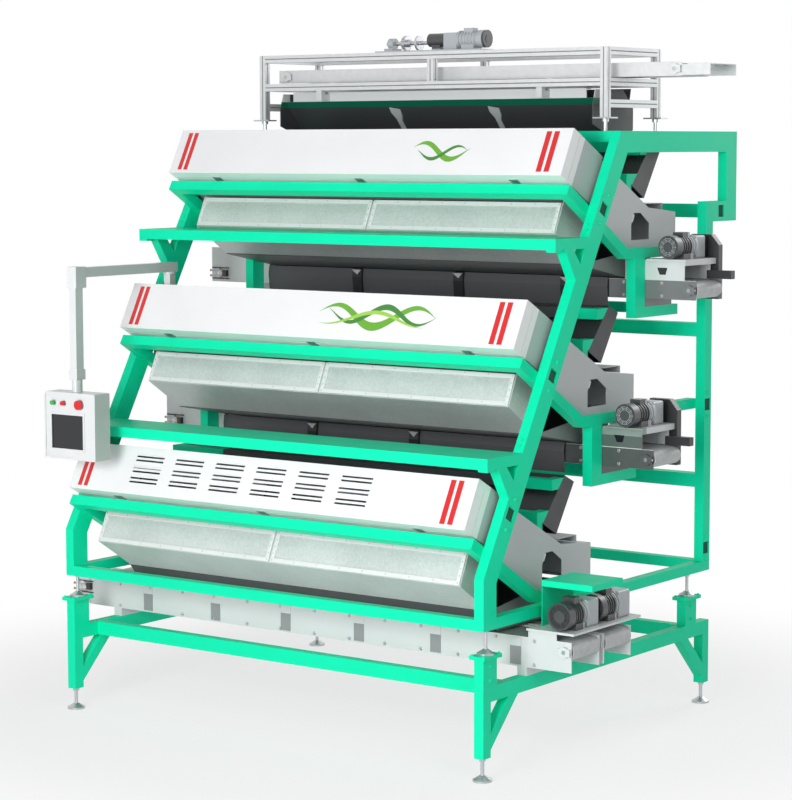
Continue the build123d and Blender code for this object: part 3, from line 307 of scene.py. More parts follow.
# scale and detail of the noises, darkest and lightest shade, span of roughness, strength and depth of relief
looks = {
    "enamel": {"tone": (2.2, 4), "shades": (0.93, 1.05), "gloss": (14.0, 3), "span": 0.16,
               "grain": (420.0, 2), "relief": (0.048, 0.0006)},
    "rubber": {"tone": (30.0, 5), "shades": (0.8, 1.25), "gloss": (60.0, 3), "span": 0.2,
               "grain": (900.0, 2), "relief": (0.12, 0.0005)},
    "plastic": {"tone": (8.0, 3), "shades": (0.95, 1.04), "gloss": (80.0, 2), "span": 0.1,
                "grain": (1200.0, 2), "relief": (0.05, 0.0002)},
}


def mottled(name, colour, rough, kind):
    # a faint unevenness of tone, gloss and surface
    finish = Finish(name)
    look = looks[kind]
    dark, light = [scaled(colour, shade) for shade in look["shades"]]
    finish.feed("Base Color", finish.mix(finish.noise(*look["tone"]), dark, light))
    finish.feed("Roughness", finish.noise(*look["gloss"]) * look["span"] + (rough - look["span"] / 2))
    finish.bump(finish.noise(*look["grain"]), *look["relief"])
    return finish


enamel = {"dustFrom": 0.75, "dust": (9.0, 5), "coatRough": 0.18}


def painted(name, colour, rough, coat, sheen=0.5, dusty=0.10):
    # sprayed enamel: faint cloudiness, orange peel and slightly duller dust on upward faces
    finish = mottled(name, colour, rough, "enamel")
    upward = finish.facing()[2] > enamel["dustFrom"]
    finish.repaint(upward * finish.noise(*enamel["dust"]) * dusty, tones["dust"])
    finish.feed("Coat Weight", coat)
    finish.feed("Coat Roughness", enamel["coatRough"])
    finish.feed("Specular IOR Level", sheen)
    return finish


def greenPaint(name):
    return painted(name, tones["green"], 0.46, 0.03, sheen=0.16, dusty=0.02)


drawn = {"scale": 26.0, "shades": (0.86, 1.08), "span": 0.2, "relief": (0.05, 0.0005)}


def brushedMetal(name, colour, along=(1, 30, 30), rough=0.34, metal=0.9):
    # drawn or rolled metal with fine lines along the piece
    finish = Finish(name)
    lines = finish.noise(drawn["scale"], 6, 0.6, along)
    dark, light = [scaled(colour, shade) for shade in drawn["shades"]]
    finish.feed("Base Color", finish.mix(lines, dark, light))
    finish.feed("Metallic", metal)
    finish.feed("Roughness", lines * drawn["span"] + (rough - drawn["span"] / 2))
    finish.bump(lines, *drawn["relief"])
    return finish


zinc = {
    "cellScale": 95.0, "cloudScale": 3.0, "crystalShare": 0.35, "metal": 0.35,
    "stops": [(0.25, rgb(0.50, 0.54, 0.535)), (0.75, rgb(0.65, 0.695, 0.685))],
    "rough": 0.34, "span": 0.22, "relief": (0.03, 0.0004),
}


def galvanisedSheet(name):
    # zinc spangle: flat crystals of slightly different greys
    finish = Finish(name)
    values = {"Vector": finish.coords, "Scale": zinc["cellScale"]}
    cells = finish.node("ShaderNodeTexVoronoi", {"feature": "F1"}, values, output=1)
    crystal = finish.node("ShaderNodeRGBToBW", {}, [cells])
    share = zinc["crystalShare"]
    tone = crystal * share + finish.noise(zinc["cloudScale"], 5) * (1 - share)
    finish.feed("Base Color", finish.ramp(tone, zinc["stops"]))
    finish.feed("Metallic", zinc["metal"])
    finish.feed("Roughness", crystal * zinc["span"] + zinc["rough"])
    finish.bump(crystal, *zinc["relief"])
    return finish


def tierAxes(tier, y, z):
    # depth behind a tier's face and rise up it, from the sockets of y and z
    c, s = math.cos(layout["tilt"]), math.sin(layout["tilt"])
    origin = tierPoint(tier, 0, 0, 0)
    back, above = y - origin.y, z - origin.z
    return back * c - above * s, back * s + above * c


# stripes and leaf-coloured ornament on the white doors, in metres from the left end of the frame
doorArt = {
    "stripes": [(0.145, 0.222), (2.745, 2.830)],
    "stripeShare": 0.40,  # width of one of the two bars of a stripe
    "stripeRise": (0.022, 0.272),
    "frontDepth": 0.001,
    "stripeRed": fromScreen(206, 2, 14),
    "ribbonTones": [fromScreen(94, 164, 30), fromScreen(48, 124, 34), fromScreen(150, 198, 72)],
    # from, to, middle height, swing, wavelength, start turn, half thickness
    1: [(1.87, 2.27, 0.150, 0.052, 0.40, 0.4, 0.020), (1.90, 2.25, 0.140, 0.040, 0.34, 2.6, 0.013)],
    2: [
        (1.54, 2.36, 0.150, 0.062, 0.56, 0.2, 0.026), (1.60, 2.37, 0.160, 0.050, 0.47, 2.4, 0.018),
        (1.56, 2.30, 0.135, 0.040, 0.66, 4.2, 0.012),
    ],
}


def doorPaint(name, tier):
    # white enamel; each end has two red bars, and the upper two doors carry wave ribbons
    finish = painted(name, tones["white"], 0.33, 0.35)
    x, y, z = finish.axes()
    across = x - tierPoint(tier, 0, 0, 0).x
    depth, rise = tierAxes(tier, y, z)
    front = depth < doorArt["frontDepth"]
    bars = []
    for low, high in doorArt["stripes"]:
        width = (high - low) * doorArt["stripeShare"]
        bars += [across.between(start, start + width) for start in (low, high - width)]
    finish.repaint(anyOf(bars) * front * rise.between(*doorArt["stripeRise"]), doorArt["stripeRed"])
    for tone, (x0, x1, middle, swing, length, turn, half) in zip(doorArt["ribbonTones"], doorArt.get(tier, [])):
        along = across - x0
        line = (along * (2 * math.pi / length) + turn).math("SINE") * swing + middle
        thick = (along * (math.pi / (x1 - x0))).math("SINE") * half
        finish.repaint(((rise - line).size() < thick) * along.between(0, x1 - x0) * front, tone)
    return finish


boxLook = {"band": (0.0, 0.128), "reach": (-0.2, 0.45)}


def housingPaint(name):
    # grey camera boxes whose front band is white like the doors
    finish = painted(name, tones["cameraBox"], 0.42, 0.15)
    x, y, z = finish.axes()
    bands = []
    for tier in layout["tiers"]:
        above = z - tierPoint(tier, 0, 0, 0).z
        bands.append(tierAxes(tier, y, z)[0].between(*boxLook["band"]) * above.between(*boxLook["reach"]))
    finish.repaint(anyOf(bands), tones["white"])
    return finish


motorLook = {
    # from and to height, front, and length of each dark body
    "bodies": ((2.4, 3.3, 1.64, 0.17), (1.5, 2.2, 1.184, 0.17), (0.7, 1.1, 0.40, 0.15), (0.7, 1.1, 0.725, 0.15)),
    # the top motor lies along the machine; its x is from the middle
    "topFrom": 3.914, "topBody": (-0.046, 0.0805), "topCowl": 0.355,
}


def motorPaint(name):
    # dark ribbed bodies and fan covers, silver gearboxes behind them
    finish = painted(name, tones["gearbox"], 0.34, 0.3)
    x, y, z = finish.axes()
    dark = [
        y.between(atY(front), atY(front) + length) * z.between(low, high)
        for low, high, front, length in motorLook["bodies"]
    ]
    dark.append((z > motorLook["topFrom"]) * anyOf([x.between(*motorLook["topBody"]), x > motorLook["topCowl"]]))
    finish.repaint(anyOf(dark), tones["motorDark"])
    return finish


conveyorLook = {
    "covered": (0.171, 2.70), "upperHeights": (1.45, 2.60), "upperFront": 1.7435,
    "rightFrom": 2.70, "nearFront": 1.266,
    # heights and screen tone of the painted reflection bands at the right end, and whether only the near belt has it
    "rightReflectionBands": (
        ((2.40, 2.574), (112, 114, 115), False), ((1.50, 1.658), (76, 80, 80), False),
        ((1.662, 1.728), (84, 96, 92), True), ((1.728, 1.80), (132, 146, 141), True),
    ),
    "strapStart": 0.2445, "strapPitch": 0.53, "strapCount": 6, "strapWidth": 0.071,
    "strapFront": 0.409, "strapHeights": (0.561, 0.663),
}


def conveyorPaint(name):
    # pale grey plates; the upper belts' front plates are dark between the hangers, and the lowest has darker straps;
    # darker bands at the right end are painted reflection
    finish = painted(name, tones["conveyor"], 0.40, 0.15)
    look = conveyorLook
    x, y, z = finish.axes()
    covered = x.between(*map(atX, look["covered"])) * z.between(*look["upperHeights"])
    finish.repaint(covered * (y < atY(look["upperFront"])), tones["conveyorDark"])
    right = x > atX(look["rightFrom"])
    near = right * (y < atY(look["nearFront"]))
    # painted reflection: darker bands on the metal plates at the right end
    for heights, tone, nearOnly in look["rightReflectionBands"]:
        finish.repaint((near if nearOnly else right) * z.between(*heights), fromScreen(*tone))
    starts = [atX(look["strapStart"] + look["strapPitch"] * step) for step in range(look["strapCount"])]
    straps = anyOf([x.between(start, start + look["strapWidth"]) for start in starts])
    straps = straps * (y < atY(look["strapFront"])) * z.between(*look["strapHeights"])
    finish.repaint(straps, tones["conveyorStrap"])
    return finish


outletLook = {"ends": (0.2025, 2.7975)}


def outletPaint(name):
    # charcoal chutes between bare grey end plates
    finish = painted(name, tones["charcoal"], 0.5, 0.05)
    x = finish.axes()[0]
    left, right = outletLook["ends"]
    finish.repaint(anyOf([x < atX(left), x > atX(right)]), tones["outletEnd"])
    return finish


def consolePaint(name):
    # white front, with painted shade on the sides of the arm and the box that face along x
    finish = painted(name, tones["console"], 0.36, 0.25)
    finish.repaint(finish.facing()[0].size() > 0.5, tones["consoleSideShade"])
    return finish


tubeLook = {"covered": (0.518, 2.70)}


def tubePaint(name):
    # green tubes of the feed hoppers, dark where the hopper covers them
    finish = greenPaint(name)
    finish.repaint(finish.axes()[0].between(*map(atX, tubeLook["covered"])), tones["covered"])
    return finish


lip = {"lipFrom": 3.6115, "lipFront": 1.702, "stripFrom": 3.575, "stripFront": 1.73, "stripShade": 0.16}


def hopperPaint(name):
    # charcoal, with the pale folded lip and, under it, a strip of green paint darkened into painted shade
    finish = painted(name, tones["charcoal"], 0.5, 0.05)
    x, y, z = finish.axes()
    finish.repaint((z > lip["lipFrom"]) * (y < atY(lip["lipFront"])), tones["lip"])
    # green paint darkened into painted shade under the lip
    strip = z.between(lip["stripFrom"], lip["lipFrom"]) * (y < atY(lip["stripFront"]))
    finish.repaint(strip, scaled(tones["green"], lip["stripShade"]))
    return finish


finishes = {
    "green": greenPaint("machineGreen"),
    "grey": painted("housingGrey", tones["housing"], 0.42, 0.15),
    "pale": conveyorPaint("conveyorGrey"),
    "charcoal": painted("hopperCharcoal", tones["charcoal"], 0.5, 0.05),
    "black": painted("hardwareBlack", tones["hardware"], 0.42, 0.2),
    "motor": motorPaint("motorCoat"),
    "zinc": galvanisedSheet("galvanisedSheet"),
    "steel": brushedMetal("brightSteel", tones["steel"]),
    "alloy": brushedMetal("anodisedProfile", tones["alloy"], (1, 1, 1), 0.42, 0.5),
    "belt": mottled("beltGrey", tones["belt"], 0.45, "rubber"),
    "glass": mottled("lampTube", tones["lamp"], 0.15, "plastic"),
    "screen": mottled("screenBlack", tones["screen"], 0.12, "plastic"),
    "startGreen": mottled("buttonGreen", tones["start"], 0.25, "plastic"),
    "stopRed": mottled("buttonRed", tones["stop"], 0.25, "plastic"),
    "ivory": consolePaint("consoleIvory"),
    "bronze": brushedMetal("brassNut", tones["brass"], (1, 1, 1), 0.35, 0.9),
    "housing": housingPaint("cameraBoxGrey"),
    "topHopper": hopperPaint("topHopperCharcoal"),
    "outlet": outletPaint("outletCharcoal"),
    "tube": tubePaint("hopperTubeGreen"),
    # painted shade for the T-slots of the top frame
    "groove": painted("grooveGrey", tones["groove"], 0.5, 0.05),
    "apron": painted("apronCharcoal", tones["covered"], 0.5, 0.05),
    "clip": painted("clipGrey", tones["clip"], 0.45, 0.05),
    # painted shadow behind the side frames' access windows
    "shadow": mottled("dimInside", scaled(tones["green"], 0.10), 0.8, "plastic"),
    "rim": painted("panelRim", tones["rim"], 0.36, 0.1),
}
for tier in layout["tiers"]:
    finishes[f"door{tier}"] = doorPaint(f"doorWhite{tier}", tier)
print("finishes made:", len(finishes))

nodeFinish = {
    "green": "stand_frame stub_posts platform_frame side_frame_left side_frame_right cross_tubes step_rails "
             "tier_brackets conveyor_hangers drive_cover",
    "tube": "hopper_tubes",
    "grey": "rear_boxes flap_tray_1 flap_tray_2 flap_tray_3",
    "housing": "optical_boxes",
    "zinc": "lower_boxes lower_panels",
    "pale": "conveyor_frame_1 conveyor_frame_2 conveyor_frame_3",
    "charcoal": "feed_hoppers",
    "outlet": "collecting_hoppers",
    "topHopper": "top_hopper",
    "black": "camera_units chain_guards belt_tensioners",
    "motor": "drive_motors top_motor",
    "steel": "door_hardware levelling_feet chute_plates feeder_trays top_feet sprocket_shaft drive_drum_1 drive_drum_2 "
             "drive_drum_3 drive_drum_4 tail_drum_1 tail_drum_2 tail_drum_3 tail_drum_4 top_drive_drum top_tail_drum",
    "alloy": "ejector_bars top_frame top_conveyor_frame",
    "belt": "conveyor_belts",
    "glass": "lamp_bars",
    "screen": "console_screen",
    "ivory": "console_arm console_box console_pedestal",
    "startGreen": "start_button",
    "stopRed": "stop_button estop_button",
    "door1": "fascia_door_1",
    "door2": "fascia_door_2",
    "door3": "fascia_door_3",
}
for key, names in nodeFinish.items():
    for name in names.split():
        mesh = nodes[name].data
        mesh.materials.clear()
        mesh.materials.append(finishes[key].material)
left = [name for name in nodes if not any(name in names.split() for names in nodeFinish.values())]
print("finishes on nodes, left over:", left)


# Geometry Nodes: one small form repeated on the points of a mesh, turned to each point's own direction
def repeatTree(name, labels, form):
    tree = bpy.data.node_groups.new(name, "GeometryNodeTree")
    face = tree.interface
    face.new_socket("Geometry", in_out="INPUT", socket_type="NodeSocketGeometry")
    for label in labels:
        face.new_socket(label, in_out="INPUT", socket_type="NodeSocketFloat")
    face.new_socket("Finish", in_out="INPUT", socket_type="NodeSocketMaterial")
    face.new_socket("Geometry", in_out="OUTPUT", socket_type="NodeSocketGeometry")
    entry = tree.nodes.new("NodeGroupInput")
    leave = tree.nodes.new("NodeGroupOutput")
    given = {socket.name: Sock(tree, socket) for socket in entry.outputs}
    named = nodeOf(tree, "GeometryNodeInputNamedAttribute", {"data_type": "FLOAT_VECTOR"}, {"Name": "outward"})
    turn = nodeOf(tree, "FunctionNodeAlignRotationToVector", {"axis": "Z"}, {"Vector": named})
    values = {"Points": given["Geometry"], "Instance": form(tree, given), "Rotation": turn}
    copies = nodeOf(tree, "GeometryNodeInstanceOnPoints", {}, values)
    real = nodeOf(tree, "GeometryNodeRealizeInstances", {}, {"Geometry": copies})
    coat = nodeOf(tree, "GeometryNodeSetMaterial", {}, {"Geometry": real, "Material": given["Finish"]})
    tree.links.new(coat.socket, leave.inputs["Geometry"])
    return tree


def cylinder(tree, sides, radius, depth):
    return nodeOf(tree, "GeometryNodeMeshCylinder", {}, {"Vertices": sides, "Radius": radius, "Depth": depth})


def moved(tree, form, key, value):
    return nodeOf(tree, "GeometryNodeTransform", {}, {"Geometry": form, key: value})


boltForm = {"washerSides": 14, "washerThick": 0.0016, "headSeat": 0.0014}


def hexForm(tree, given):
    thick = boltForm["washerThick"]
    washer = cylinder(tree, boltForm["washerSides"], given["Washer"], thick)
    head = cylinder(tree, 6, given["Radius"], given["Height"])
    lift = nodeOf(tree, "ShaderNodeCombineXYZ", {}, {"Z": given["Height"] * 0.5 + boltForm["headSeat"]})
    join = nodeOf(tree, "GeometryNodeJoinGeometry")
    for part in (moved(tree, washer, "Translation", (0, 0, thick / 2)), moved(tree, head, "Translation", lift)):
        tree.links.new(part.socket, join.socket.node.inputs[0])
    return join


def panForm(tree, given):
    dome = nodeOf(tree, "GeometryNodeMeshUVSphere", {}, {"Segments": 12, "Rings": 6, "Radius": given["Radius"]})
    return moved(tree, dome, "Scale", (1, 1, 0.5))


def hoodForm(tree, given):
    laid = moved(tree, cylinder(tree, 14, given["Radius"], given["Length"]), "Rotation", (0, math.pi / 2, 0))
    return moved(tree, laid, "Scale", (1, 1, 0.7))


trees = {
    "hood": repeatTree("louvreHoods", ["Radius", "Length"], hoodForm),
    "hex": repeatTree("hexBolts", ["Radius", "Height", "Washer"], hexForm),
    "pan": repeatTree("panScrews", ["Radius"], panForm),
}


def spread(name, tree, spots, sizes, finish, body="machine"):
    # spots are (point, outward) pairs; one plain mesh for each body
    mesh = bpy.data.meshes.new(name)
    mesh.from_pydata([tuple(spot) for spot, out in spots], [], [])
    outward = mesh.attributes.new("outward", "FLOAT_VECTOR", "POINT")
    outward.data.foreach_set("vector", [v for spot, out in spots for v in out])
    source = addObject(name + "Points", mesh)
    modifier = source.modifiers.new("repeat", "NODES")
    modifier.node_group = trees[tree]
    for item in trees[tree].interface.items_tree:
        if item.in_out == "INPUT" and item.name in sizes:
            modifier[item.identifier] = sizes[item.name]
        if item.in_out == "INPUT" and item.name == "Finish":
            modifier[item.identifier] = finishes[finish].material
    bpy.context.view_layer.update()
    evaluated = source.evaluated_get(bpy.context.evaluated_depsgraph_get())
    result = bpy.data.meshes.new_from_object(evaluated)
    piece = addObject(name, result)
    bpy.data.objects.remove(source)
    if not result.materials:
        result.materials.append(finishes[finish].material)
    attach(piece, body)


def meshPiece(name, bm, finish, bevel=0.0, segments=2, body="machine"):
    # a finished mesh with an optional soft edge
    bmesh.ops.recalc_face_normals(bm, faces=bm.faces)
    mesh = bpy.data.meshes.new(name)
    bm.to_mesh(mesh)
    bm.free()
    mesh.materials.append(finishes[finish].material)
    piece = addObject(name, mesh)
    if bevel:
        edge = piece.modifiers.new("edge", "BEVEL")
        edge.width = bevel
        edge.segments = segments
        edge.limit_method = "ANGLE"
    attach(piece, body)


def addBox(bm, low, high):
    size = high - low
    for vert in bmesh.ops.create_cube(bm, size=1.0)["verts"]:
        vert.co = Vector((low[i] + (vert.co[i] + 0.5) * size[i] for i in range(3)))


def addPrism(bm, outlines):
    # closes the space between two outlines with the same number of points
    near, far = [[bm.verts.new(point) for point in outline] for outline in outlines]
    for i in range(len(near)):
        j = (i + 1) % len(near)
        bm.faces.new((near[i], near[j], far[j], far[i]))
    bm.faces.new(near[::-1])
    bm.faces.new(far)


panelRim = {
    "low": -0.227, "high": -0.044, "spans": ((0.202, 1.493), (1.507, 2.798)),
    "width": 0.024, "proud": 0.0045, "outerSunk": 0.001, "innerSunk": 0.004, "bevel": 0.0012,
    # depth of the panels' face at its upper edge, and its lean over a height
    "face": 0.246, "leanDepth": 0.012, "leanHeight": 0.186,
}


def panelPoint(tier, rise, x, proud):
    # a point in front of a lower box's panel, whose face leans a little from the housing
    depth = panelRim["face"] + (panelRim["high"] - rise) / panelRim["leanHeight"] * panelRim["leanDepth"]
    return tierPoint(tier, depth - proud, rise, x)


def panelRims():
    # folded rim round each inspection panel, with a soft edge
    low, high, width, proud = (panelRim[key] for key in ("low", "high", "width", "proud"))
    for tier in layout["tiers"]:
        bm = bmesh.new()
        for x0, x1 in panelRim["spans"]:
            outer = [(x0, low), (x1, low), (x1, high), (x0, high)]
            inner = [
                (x0 + width, low + width), (x1 - width, low + width),
                (x1 - width, high - width), (x0 + width, high - width),
            ]
            profile = (
                (outer, -panelRim["outerSunk"]), (outer, proud), (inner, proud), (inner, -panelRim["innerSunk"]),
            )
            rings = [[bm.verts.new(panelPoint(tier, rise, x, out)) for x, rise in points] for points, out in profile]
            for ring, following in zip(rings, rings[1:] + rings[:1]):
                for i in range(4):
                    j = (i + 1) % 4
                    bm.faces.new((ring[i], ring[j], following[j], following[i]))
        meshPiece(f"panelRim{tier}", bm, "rim", panelRim["bevel"], 1)


screw = {
    "sizes": {"Radius": 0.0045}, "edge": 0.012, "perRow": 9,
    "rowRises": (-0.056, -0.215), "sideRises": (-0.098, -0.137, -0.176),
}


def lowerPanelScrews():
    # a row of small screws round each framed panel of the lower boxes
    spots = []
    edge, last = screw["edge"], screw["perRow"] - 1
    for tier in layout["tiers"]:
        for x0, x1 in panelRim["spans"]:
            holes = [
                (x0 + edge + (x1 - x0 - 2 * edge) * i / last, rise)
                for rise in screw["rowRises"] for i in range(last + 1)
            ]
            holes += [(x, rise) for x in (x0 + edge, x1 - edge) for rise in screw["sideRises"]]
            spots += [(panelPoint(tier, rise, x, panelRim["proud"]), tierOut()) for x, rise in holes]
    spread("panelScrews", "pan", spots, screw["sizes"], "steel")


frameBolt = {
    "sizes": {"Radius": 0.0085, "Height": 0.006, "Washer": 0.012},
    # above and below the middle of an access window
    "frontReach": 0.075, "rearReach": 0.07,
    "footDepths": (0.063, 1.163, 2.181), "footHeights": (0.54, 0.62),
    "postX": (0.03, 2.97), "stepHeights": (2.875, 2.905, 1.75, 1.78),
    "stubDepths": (0.0, 1.1, 2.118), "stubTop": 0.676, "capX": (-0.036, 0.036), "capY": (-0.008, 0.134),
}


def frameBolts():
    # bolts round the access windows, at the foot of the frame, on the step arms and the stub posts' caps
    spots = []
    for side, out in ((0.0, Vector((-1, 0, 0))), (layout["frameWidth"], Vector((1, 0, 0)))):
        for way in (-1, 1):
            for z in [middle + way * frameBolt["frontReach"] for middle in layout["frontWindows"]]:
                spots.append((place(side, leanDepth(z) + layout["windowInset"], z), out))
            for middle in layout["rearWindows"]:
                spots.append((place(side, layout["rearWindowY"], middle + way * frameBolt["rearReach"]), out))
        for y in frameBolt["footDepths"]:
            spots += [(place(side, y, z), out) for z in frameBolt["footHeights"]]
    ahead = Vector((0, -math.cos(layout["lean"]), math.sin(layout["lean"])))
    for x in frameBolt["postX"]:
        spots += [(place(x, leanDepth(z), z), ahead) for z in frameBolt["stepHeights"]]
        for y in frameBolt["stubDepths"]:
            for dx in frameBolt["capX"]:
                for dy in frameBolt["capY"]:
                    spots.append((place(x + dx, y + dy, frameBolt["stubTop"]), Vector((0, 0, 1))))
    spread("frameBolts", "hex", spots, frameBolt["sizes"], "green")


beltBolt = {
    "sizes": {"Radius": 0.0075, "Height": 0.006, "Washer": 0.0105},
    "start": -0.20, "pitch": 0.25, "count": 14, "hidden": (0.1, 2.75), "edge": 0.018,
    # bearing plates: x of the left ones, of the upper belts' right ones and of the lowest
    "plates": (-0.25, 3.232, 3.244), "plateReach": 0.032, "plateThick": 0.006, "plateDrop": 0.055,
}


def conveyorBolts():
    # two rows along each side plate and a pair on each bearing plate
    spots = []
    ahead = Vector((0, -1, 0))
    left, right, lowestRight = beltBolt["plates"]
    for lane, (y, low, high) in enumerate(layout["lanes"]):
        lowest = lane == len(layout["lanes"]) - 1
        for i in range(beltBolt["count"]):
            x = beltBolt["start"] + i * beltBolt["pitch"]
            if not lowest and beltBolt["hidden"][0] < x < beltBolt["hidden"][1]:
                continue  # behind the apron
            for z in (low + beltBolt["edge"], high - beltBolt["edge"]):
                spots.append((place(x, y, z), ahead))
        for x in (left, lowestRight if lowest else right):
            for way in (-1, 1):
                x1 = x + way * beltBolt["plateReach"]
                spots.append((place(x1, y - beltBolt["plateThick"], high - beltBolt["plateDrop"]), ahead))
    spread("conveyorBolts", "hex", spots, beltBolt["sizes"], "steel")


panelRims()
lowerPanelScrews()
frameBolts()
conveyorBolts()
print("screws and bolts made")


guard = {
    # middle and radius of the cowl of each belt motor
    "motors": (
        (3.133, 1.644, 2.767, 0.065), (3.133, 1.188, 1.851, 0.065),
        (3.210, 0.405, 0.84975, 0.07475), (3.210, 0.730, 0.84975, 0.07475),
    ),
    # sizes in shares of that radius
    "rings": (0.50, 0.63, 0.76), "spokeFrom": 0.44, "spokeTo": 0.86,
    "spokes": 10, "wire": 0.0016, "ringProud": 0.0035, "spokeProud": 0.003,
    "shade": (0.0004, -0.0008), "shadeSides": 40,
}


def fanGrilles():
    # concentric rings and spokes on the fan cowls of the belt motors
    steel, dark = bmesh.new(), bmesh.new()
    for x, y, z, radius in guard["motors"]:
        rim = radius * guard["spokeTo"]
        # a black disc behind each grille: painted shadow inside the cowl
        back, face = [place(x, y + depth, z) for depth in guard["shade"]]
        strut(dark, back, face, rim, guard["shadeSides"])
        for share in guard["rings"]:
            torus(steel, place(x, y - guard["ringProud"], z), radius * share, guard["wire"])
        hub = place(x, y - guard["spokeProud"], z)
        for spoke in range(guard["spokes"]):
            turn = 2 * math.pi * spoke / guard["spokes"]
            way = Vector((math.cos(turn), 0, math.sin(turn)))
            strut(steel, hub + way * radius * guard["spokeFrom"], hub + way * rim, guard["wire"])
    meshPiece("fanShadow", dark, "black")
    meshPiece("fanGuard", steel, "motor")


def torus(bm, centre, radius, wire, around=36, section=6):
    rings = []
    for i in range(around):
        turn = 2 * math.pi * i / around
        out = Vector((math.cos(turn), 0, math.sin(turn)))
        ring = []
        for j in range(section):
            roll = 2 * math.pi * j / section
            spot = centre + out * (radius + wire * math.cos(roll)) + Vector((0, wire * math.sin(roll), 0))
            ring.append(bm.verts.new(spot))
        rings.append(ring)
    for i in range(around):
        for j in range(section):
            a, b = rings[i], rings[(i + 1) % around]
            bm.faces.new((a[j], b[j], b[(j + 1) % section], a[(j + 1) % section]))


def strut(bm, start, end, wire, sides=6):
    axis = end - start
    turn = Vector((0, 0, 1)).rotation_difference(axis).to_matrix().to_4x4()
    matrix = Matrix.Translation((start + end) / 2) @ turn
    bmesh.ops.create_cone(
        bm, cap_ends=True, segments=sides, radius1=wire, radius2=wire, depth=axis.length, matrix=matrix,
    )


fanGrilles()
print("motor guards made")


desk = {
    "middle": 0.265, "front": -0.230,
    # left and right of that middle, foot and top
    "bezel": (-0.157, 0.117, 1.588, 1.812), "opening": (-0.143, 0.103, 1.602, 1.798),
    "bezelDepths": (0.0005, 0.004), "bevel": 0.0012,
    # x, height and radius of each button
    "buttons": ((-0.125, 1.866, 0.017), (-0.045, 1.866, 0.017), (0.080, 1.862, 0.031)),
    "collarSunk": 0.0035, "collarInsets": (0.0015, 0.0045), "collarWire": 0.0024,
    "screwX": (-0.186, 0.186), "screwHeights": (1.554, 1.914), "screwSunk": 0.004, "screwSizes": {"Radius": 0.004},
}


def consoleDetails():
    # bezel of the screen, collars round the buttons and corner screws
    middle, front = desk["middle"], desk["front"]
    left, right, foot, top = desk["bezel"]
    inLeft, inRight, inFoot, inTop = desk["opening"]
    nearY, farY = [front + depth for depth in desk["bezelDepths"]]
    bm = bmesh.new()
    for x0, x1, z0, z1 in (
        (left, right, foot, inFoot), (left, right, inTop, top),
        (left, inLeft, inFoot, inTop), (inRight, right, inFoot, inTop),
    ):
        addBox(bm, place(middle + x0, nearY, z0), place(middle + x1, farY, z1))
    meshPiece("screenBezel", bm, "ivory", desk["bevel"], body="console")
    bm = bmesh.new()
    for x, z, radius in desk["buttons"]:
        for inset in desk["collarInsets"]:
            spot = place(middle + x, front + desk["collarSunk"], z)
            torus(bm, spot, radius - inset, desk["collarWire"])
    meshPiece("buttonCollars", bm, "steel", body="console")
    spots = []
    for dx in desk["screwX"]:
        for z in desk["screwHeights"]:
            spots.append((place(middle + dx, front + desk["screwSunk"], z), Vector((0, -1, 0))))
    spread("consoleScrews", "pan", spots, desk["screwSizes"], "steel", body="console")


consoleDetails()
print("console details made")


apron = {
    "span": (0.172, 2.698), "thick": 0.002, "bevel": 0.0007,
    # depth and height of the folds, from the tier's corner
    "folds": ((0.851, -0.596), (0.843, -0.648), (0.8565, -0.770)),
    "straps": (0.893, 1.657, 2.421), "strapWidth": 0.068, "proud": 0.020,
    # chevron at the top of each strap
    "tipDepth": 0.844, "tipHalf": 0.004, "tipHeights": (-0.602, -0.632), "tipShare": 0.2,
}


def foldedSheet(name, tier, span, shift, thick, finish):
    y0, z0 = tierCorner(tier)
    folds = [(y0 + y - shift, z0 + z) for y, z in apron["folds"]]
    outline = folds + [(y + thick, z) for y, z in folds[::-1]]
    bm = bmesh.new()
    addPrism(bm, [[place(x, y, z) for y, z in outline] for x in span])
    meshPiece(name, bm, finish, apron["bevel"], 1)


def hopperAprons():
    # folded sheet under each upper outlet hopper, in front of the belt, with chevron straps
    proud, half = apron["proud"], apron["strapWidth"] / 2
    top, foot = apron["tipHeights"]
    for tier in (1, 2):
        foldedSheet(f"hopperApron{tier}", tier, apron["span"], 0.0, apron["thick"], "apron")
        y0, z0 = tierCorner(tier)
        for count, x in enumerate(apron["straps"]):
            foldedSheet(f"apronStrap{tier}_{count}", tier, (x - half, x + half), proud, proud, "black")
            corners = [(x - half, top), (x + half, top), (x + half * apron["tipShare"], foot)]
            depth = y0 + apron["tipDepth"] - proud
            depths = (depth + apron["tipHalf"], depth - apron["tipHalf"])
            bm = bmesh.new()
            addPrism(bm, [[place(cx, y, z0 + cz) for cx, cz in corners] for y in depths])
            meshPiece(f"strapTip{tier}_{count}", bm, "clip")


tail = {
    "middles": (2.521, 1.605, 0.657),
    "rail": (-0.306, -0.170), "railOffset": 0.034, "railHalf": 0.0035, "railOut": 0.012, "bevel": 0.0008,
    "rod": (-0.3135, -0.178), "rodOffset": 0.017, "rodOut": 0.0225, "rodRadius": 0.0034, "sides": 10,
    "threadStart": -0.3125, "threadPitch": 0.004, "threadCount": 26, "threadRadius": 0.0041, "threadWidth": 0.0014,
    "nuts": (-0.309, -0.214), "nutSizes": {"Radius": 0.0072, "Height": 0.0055, "Washer": 0.008},
}


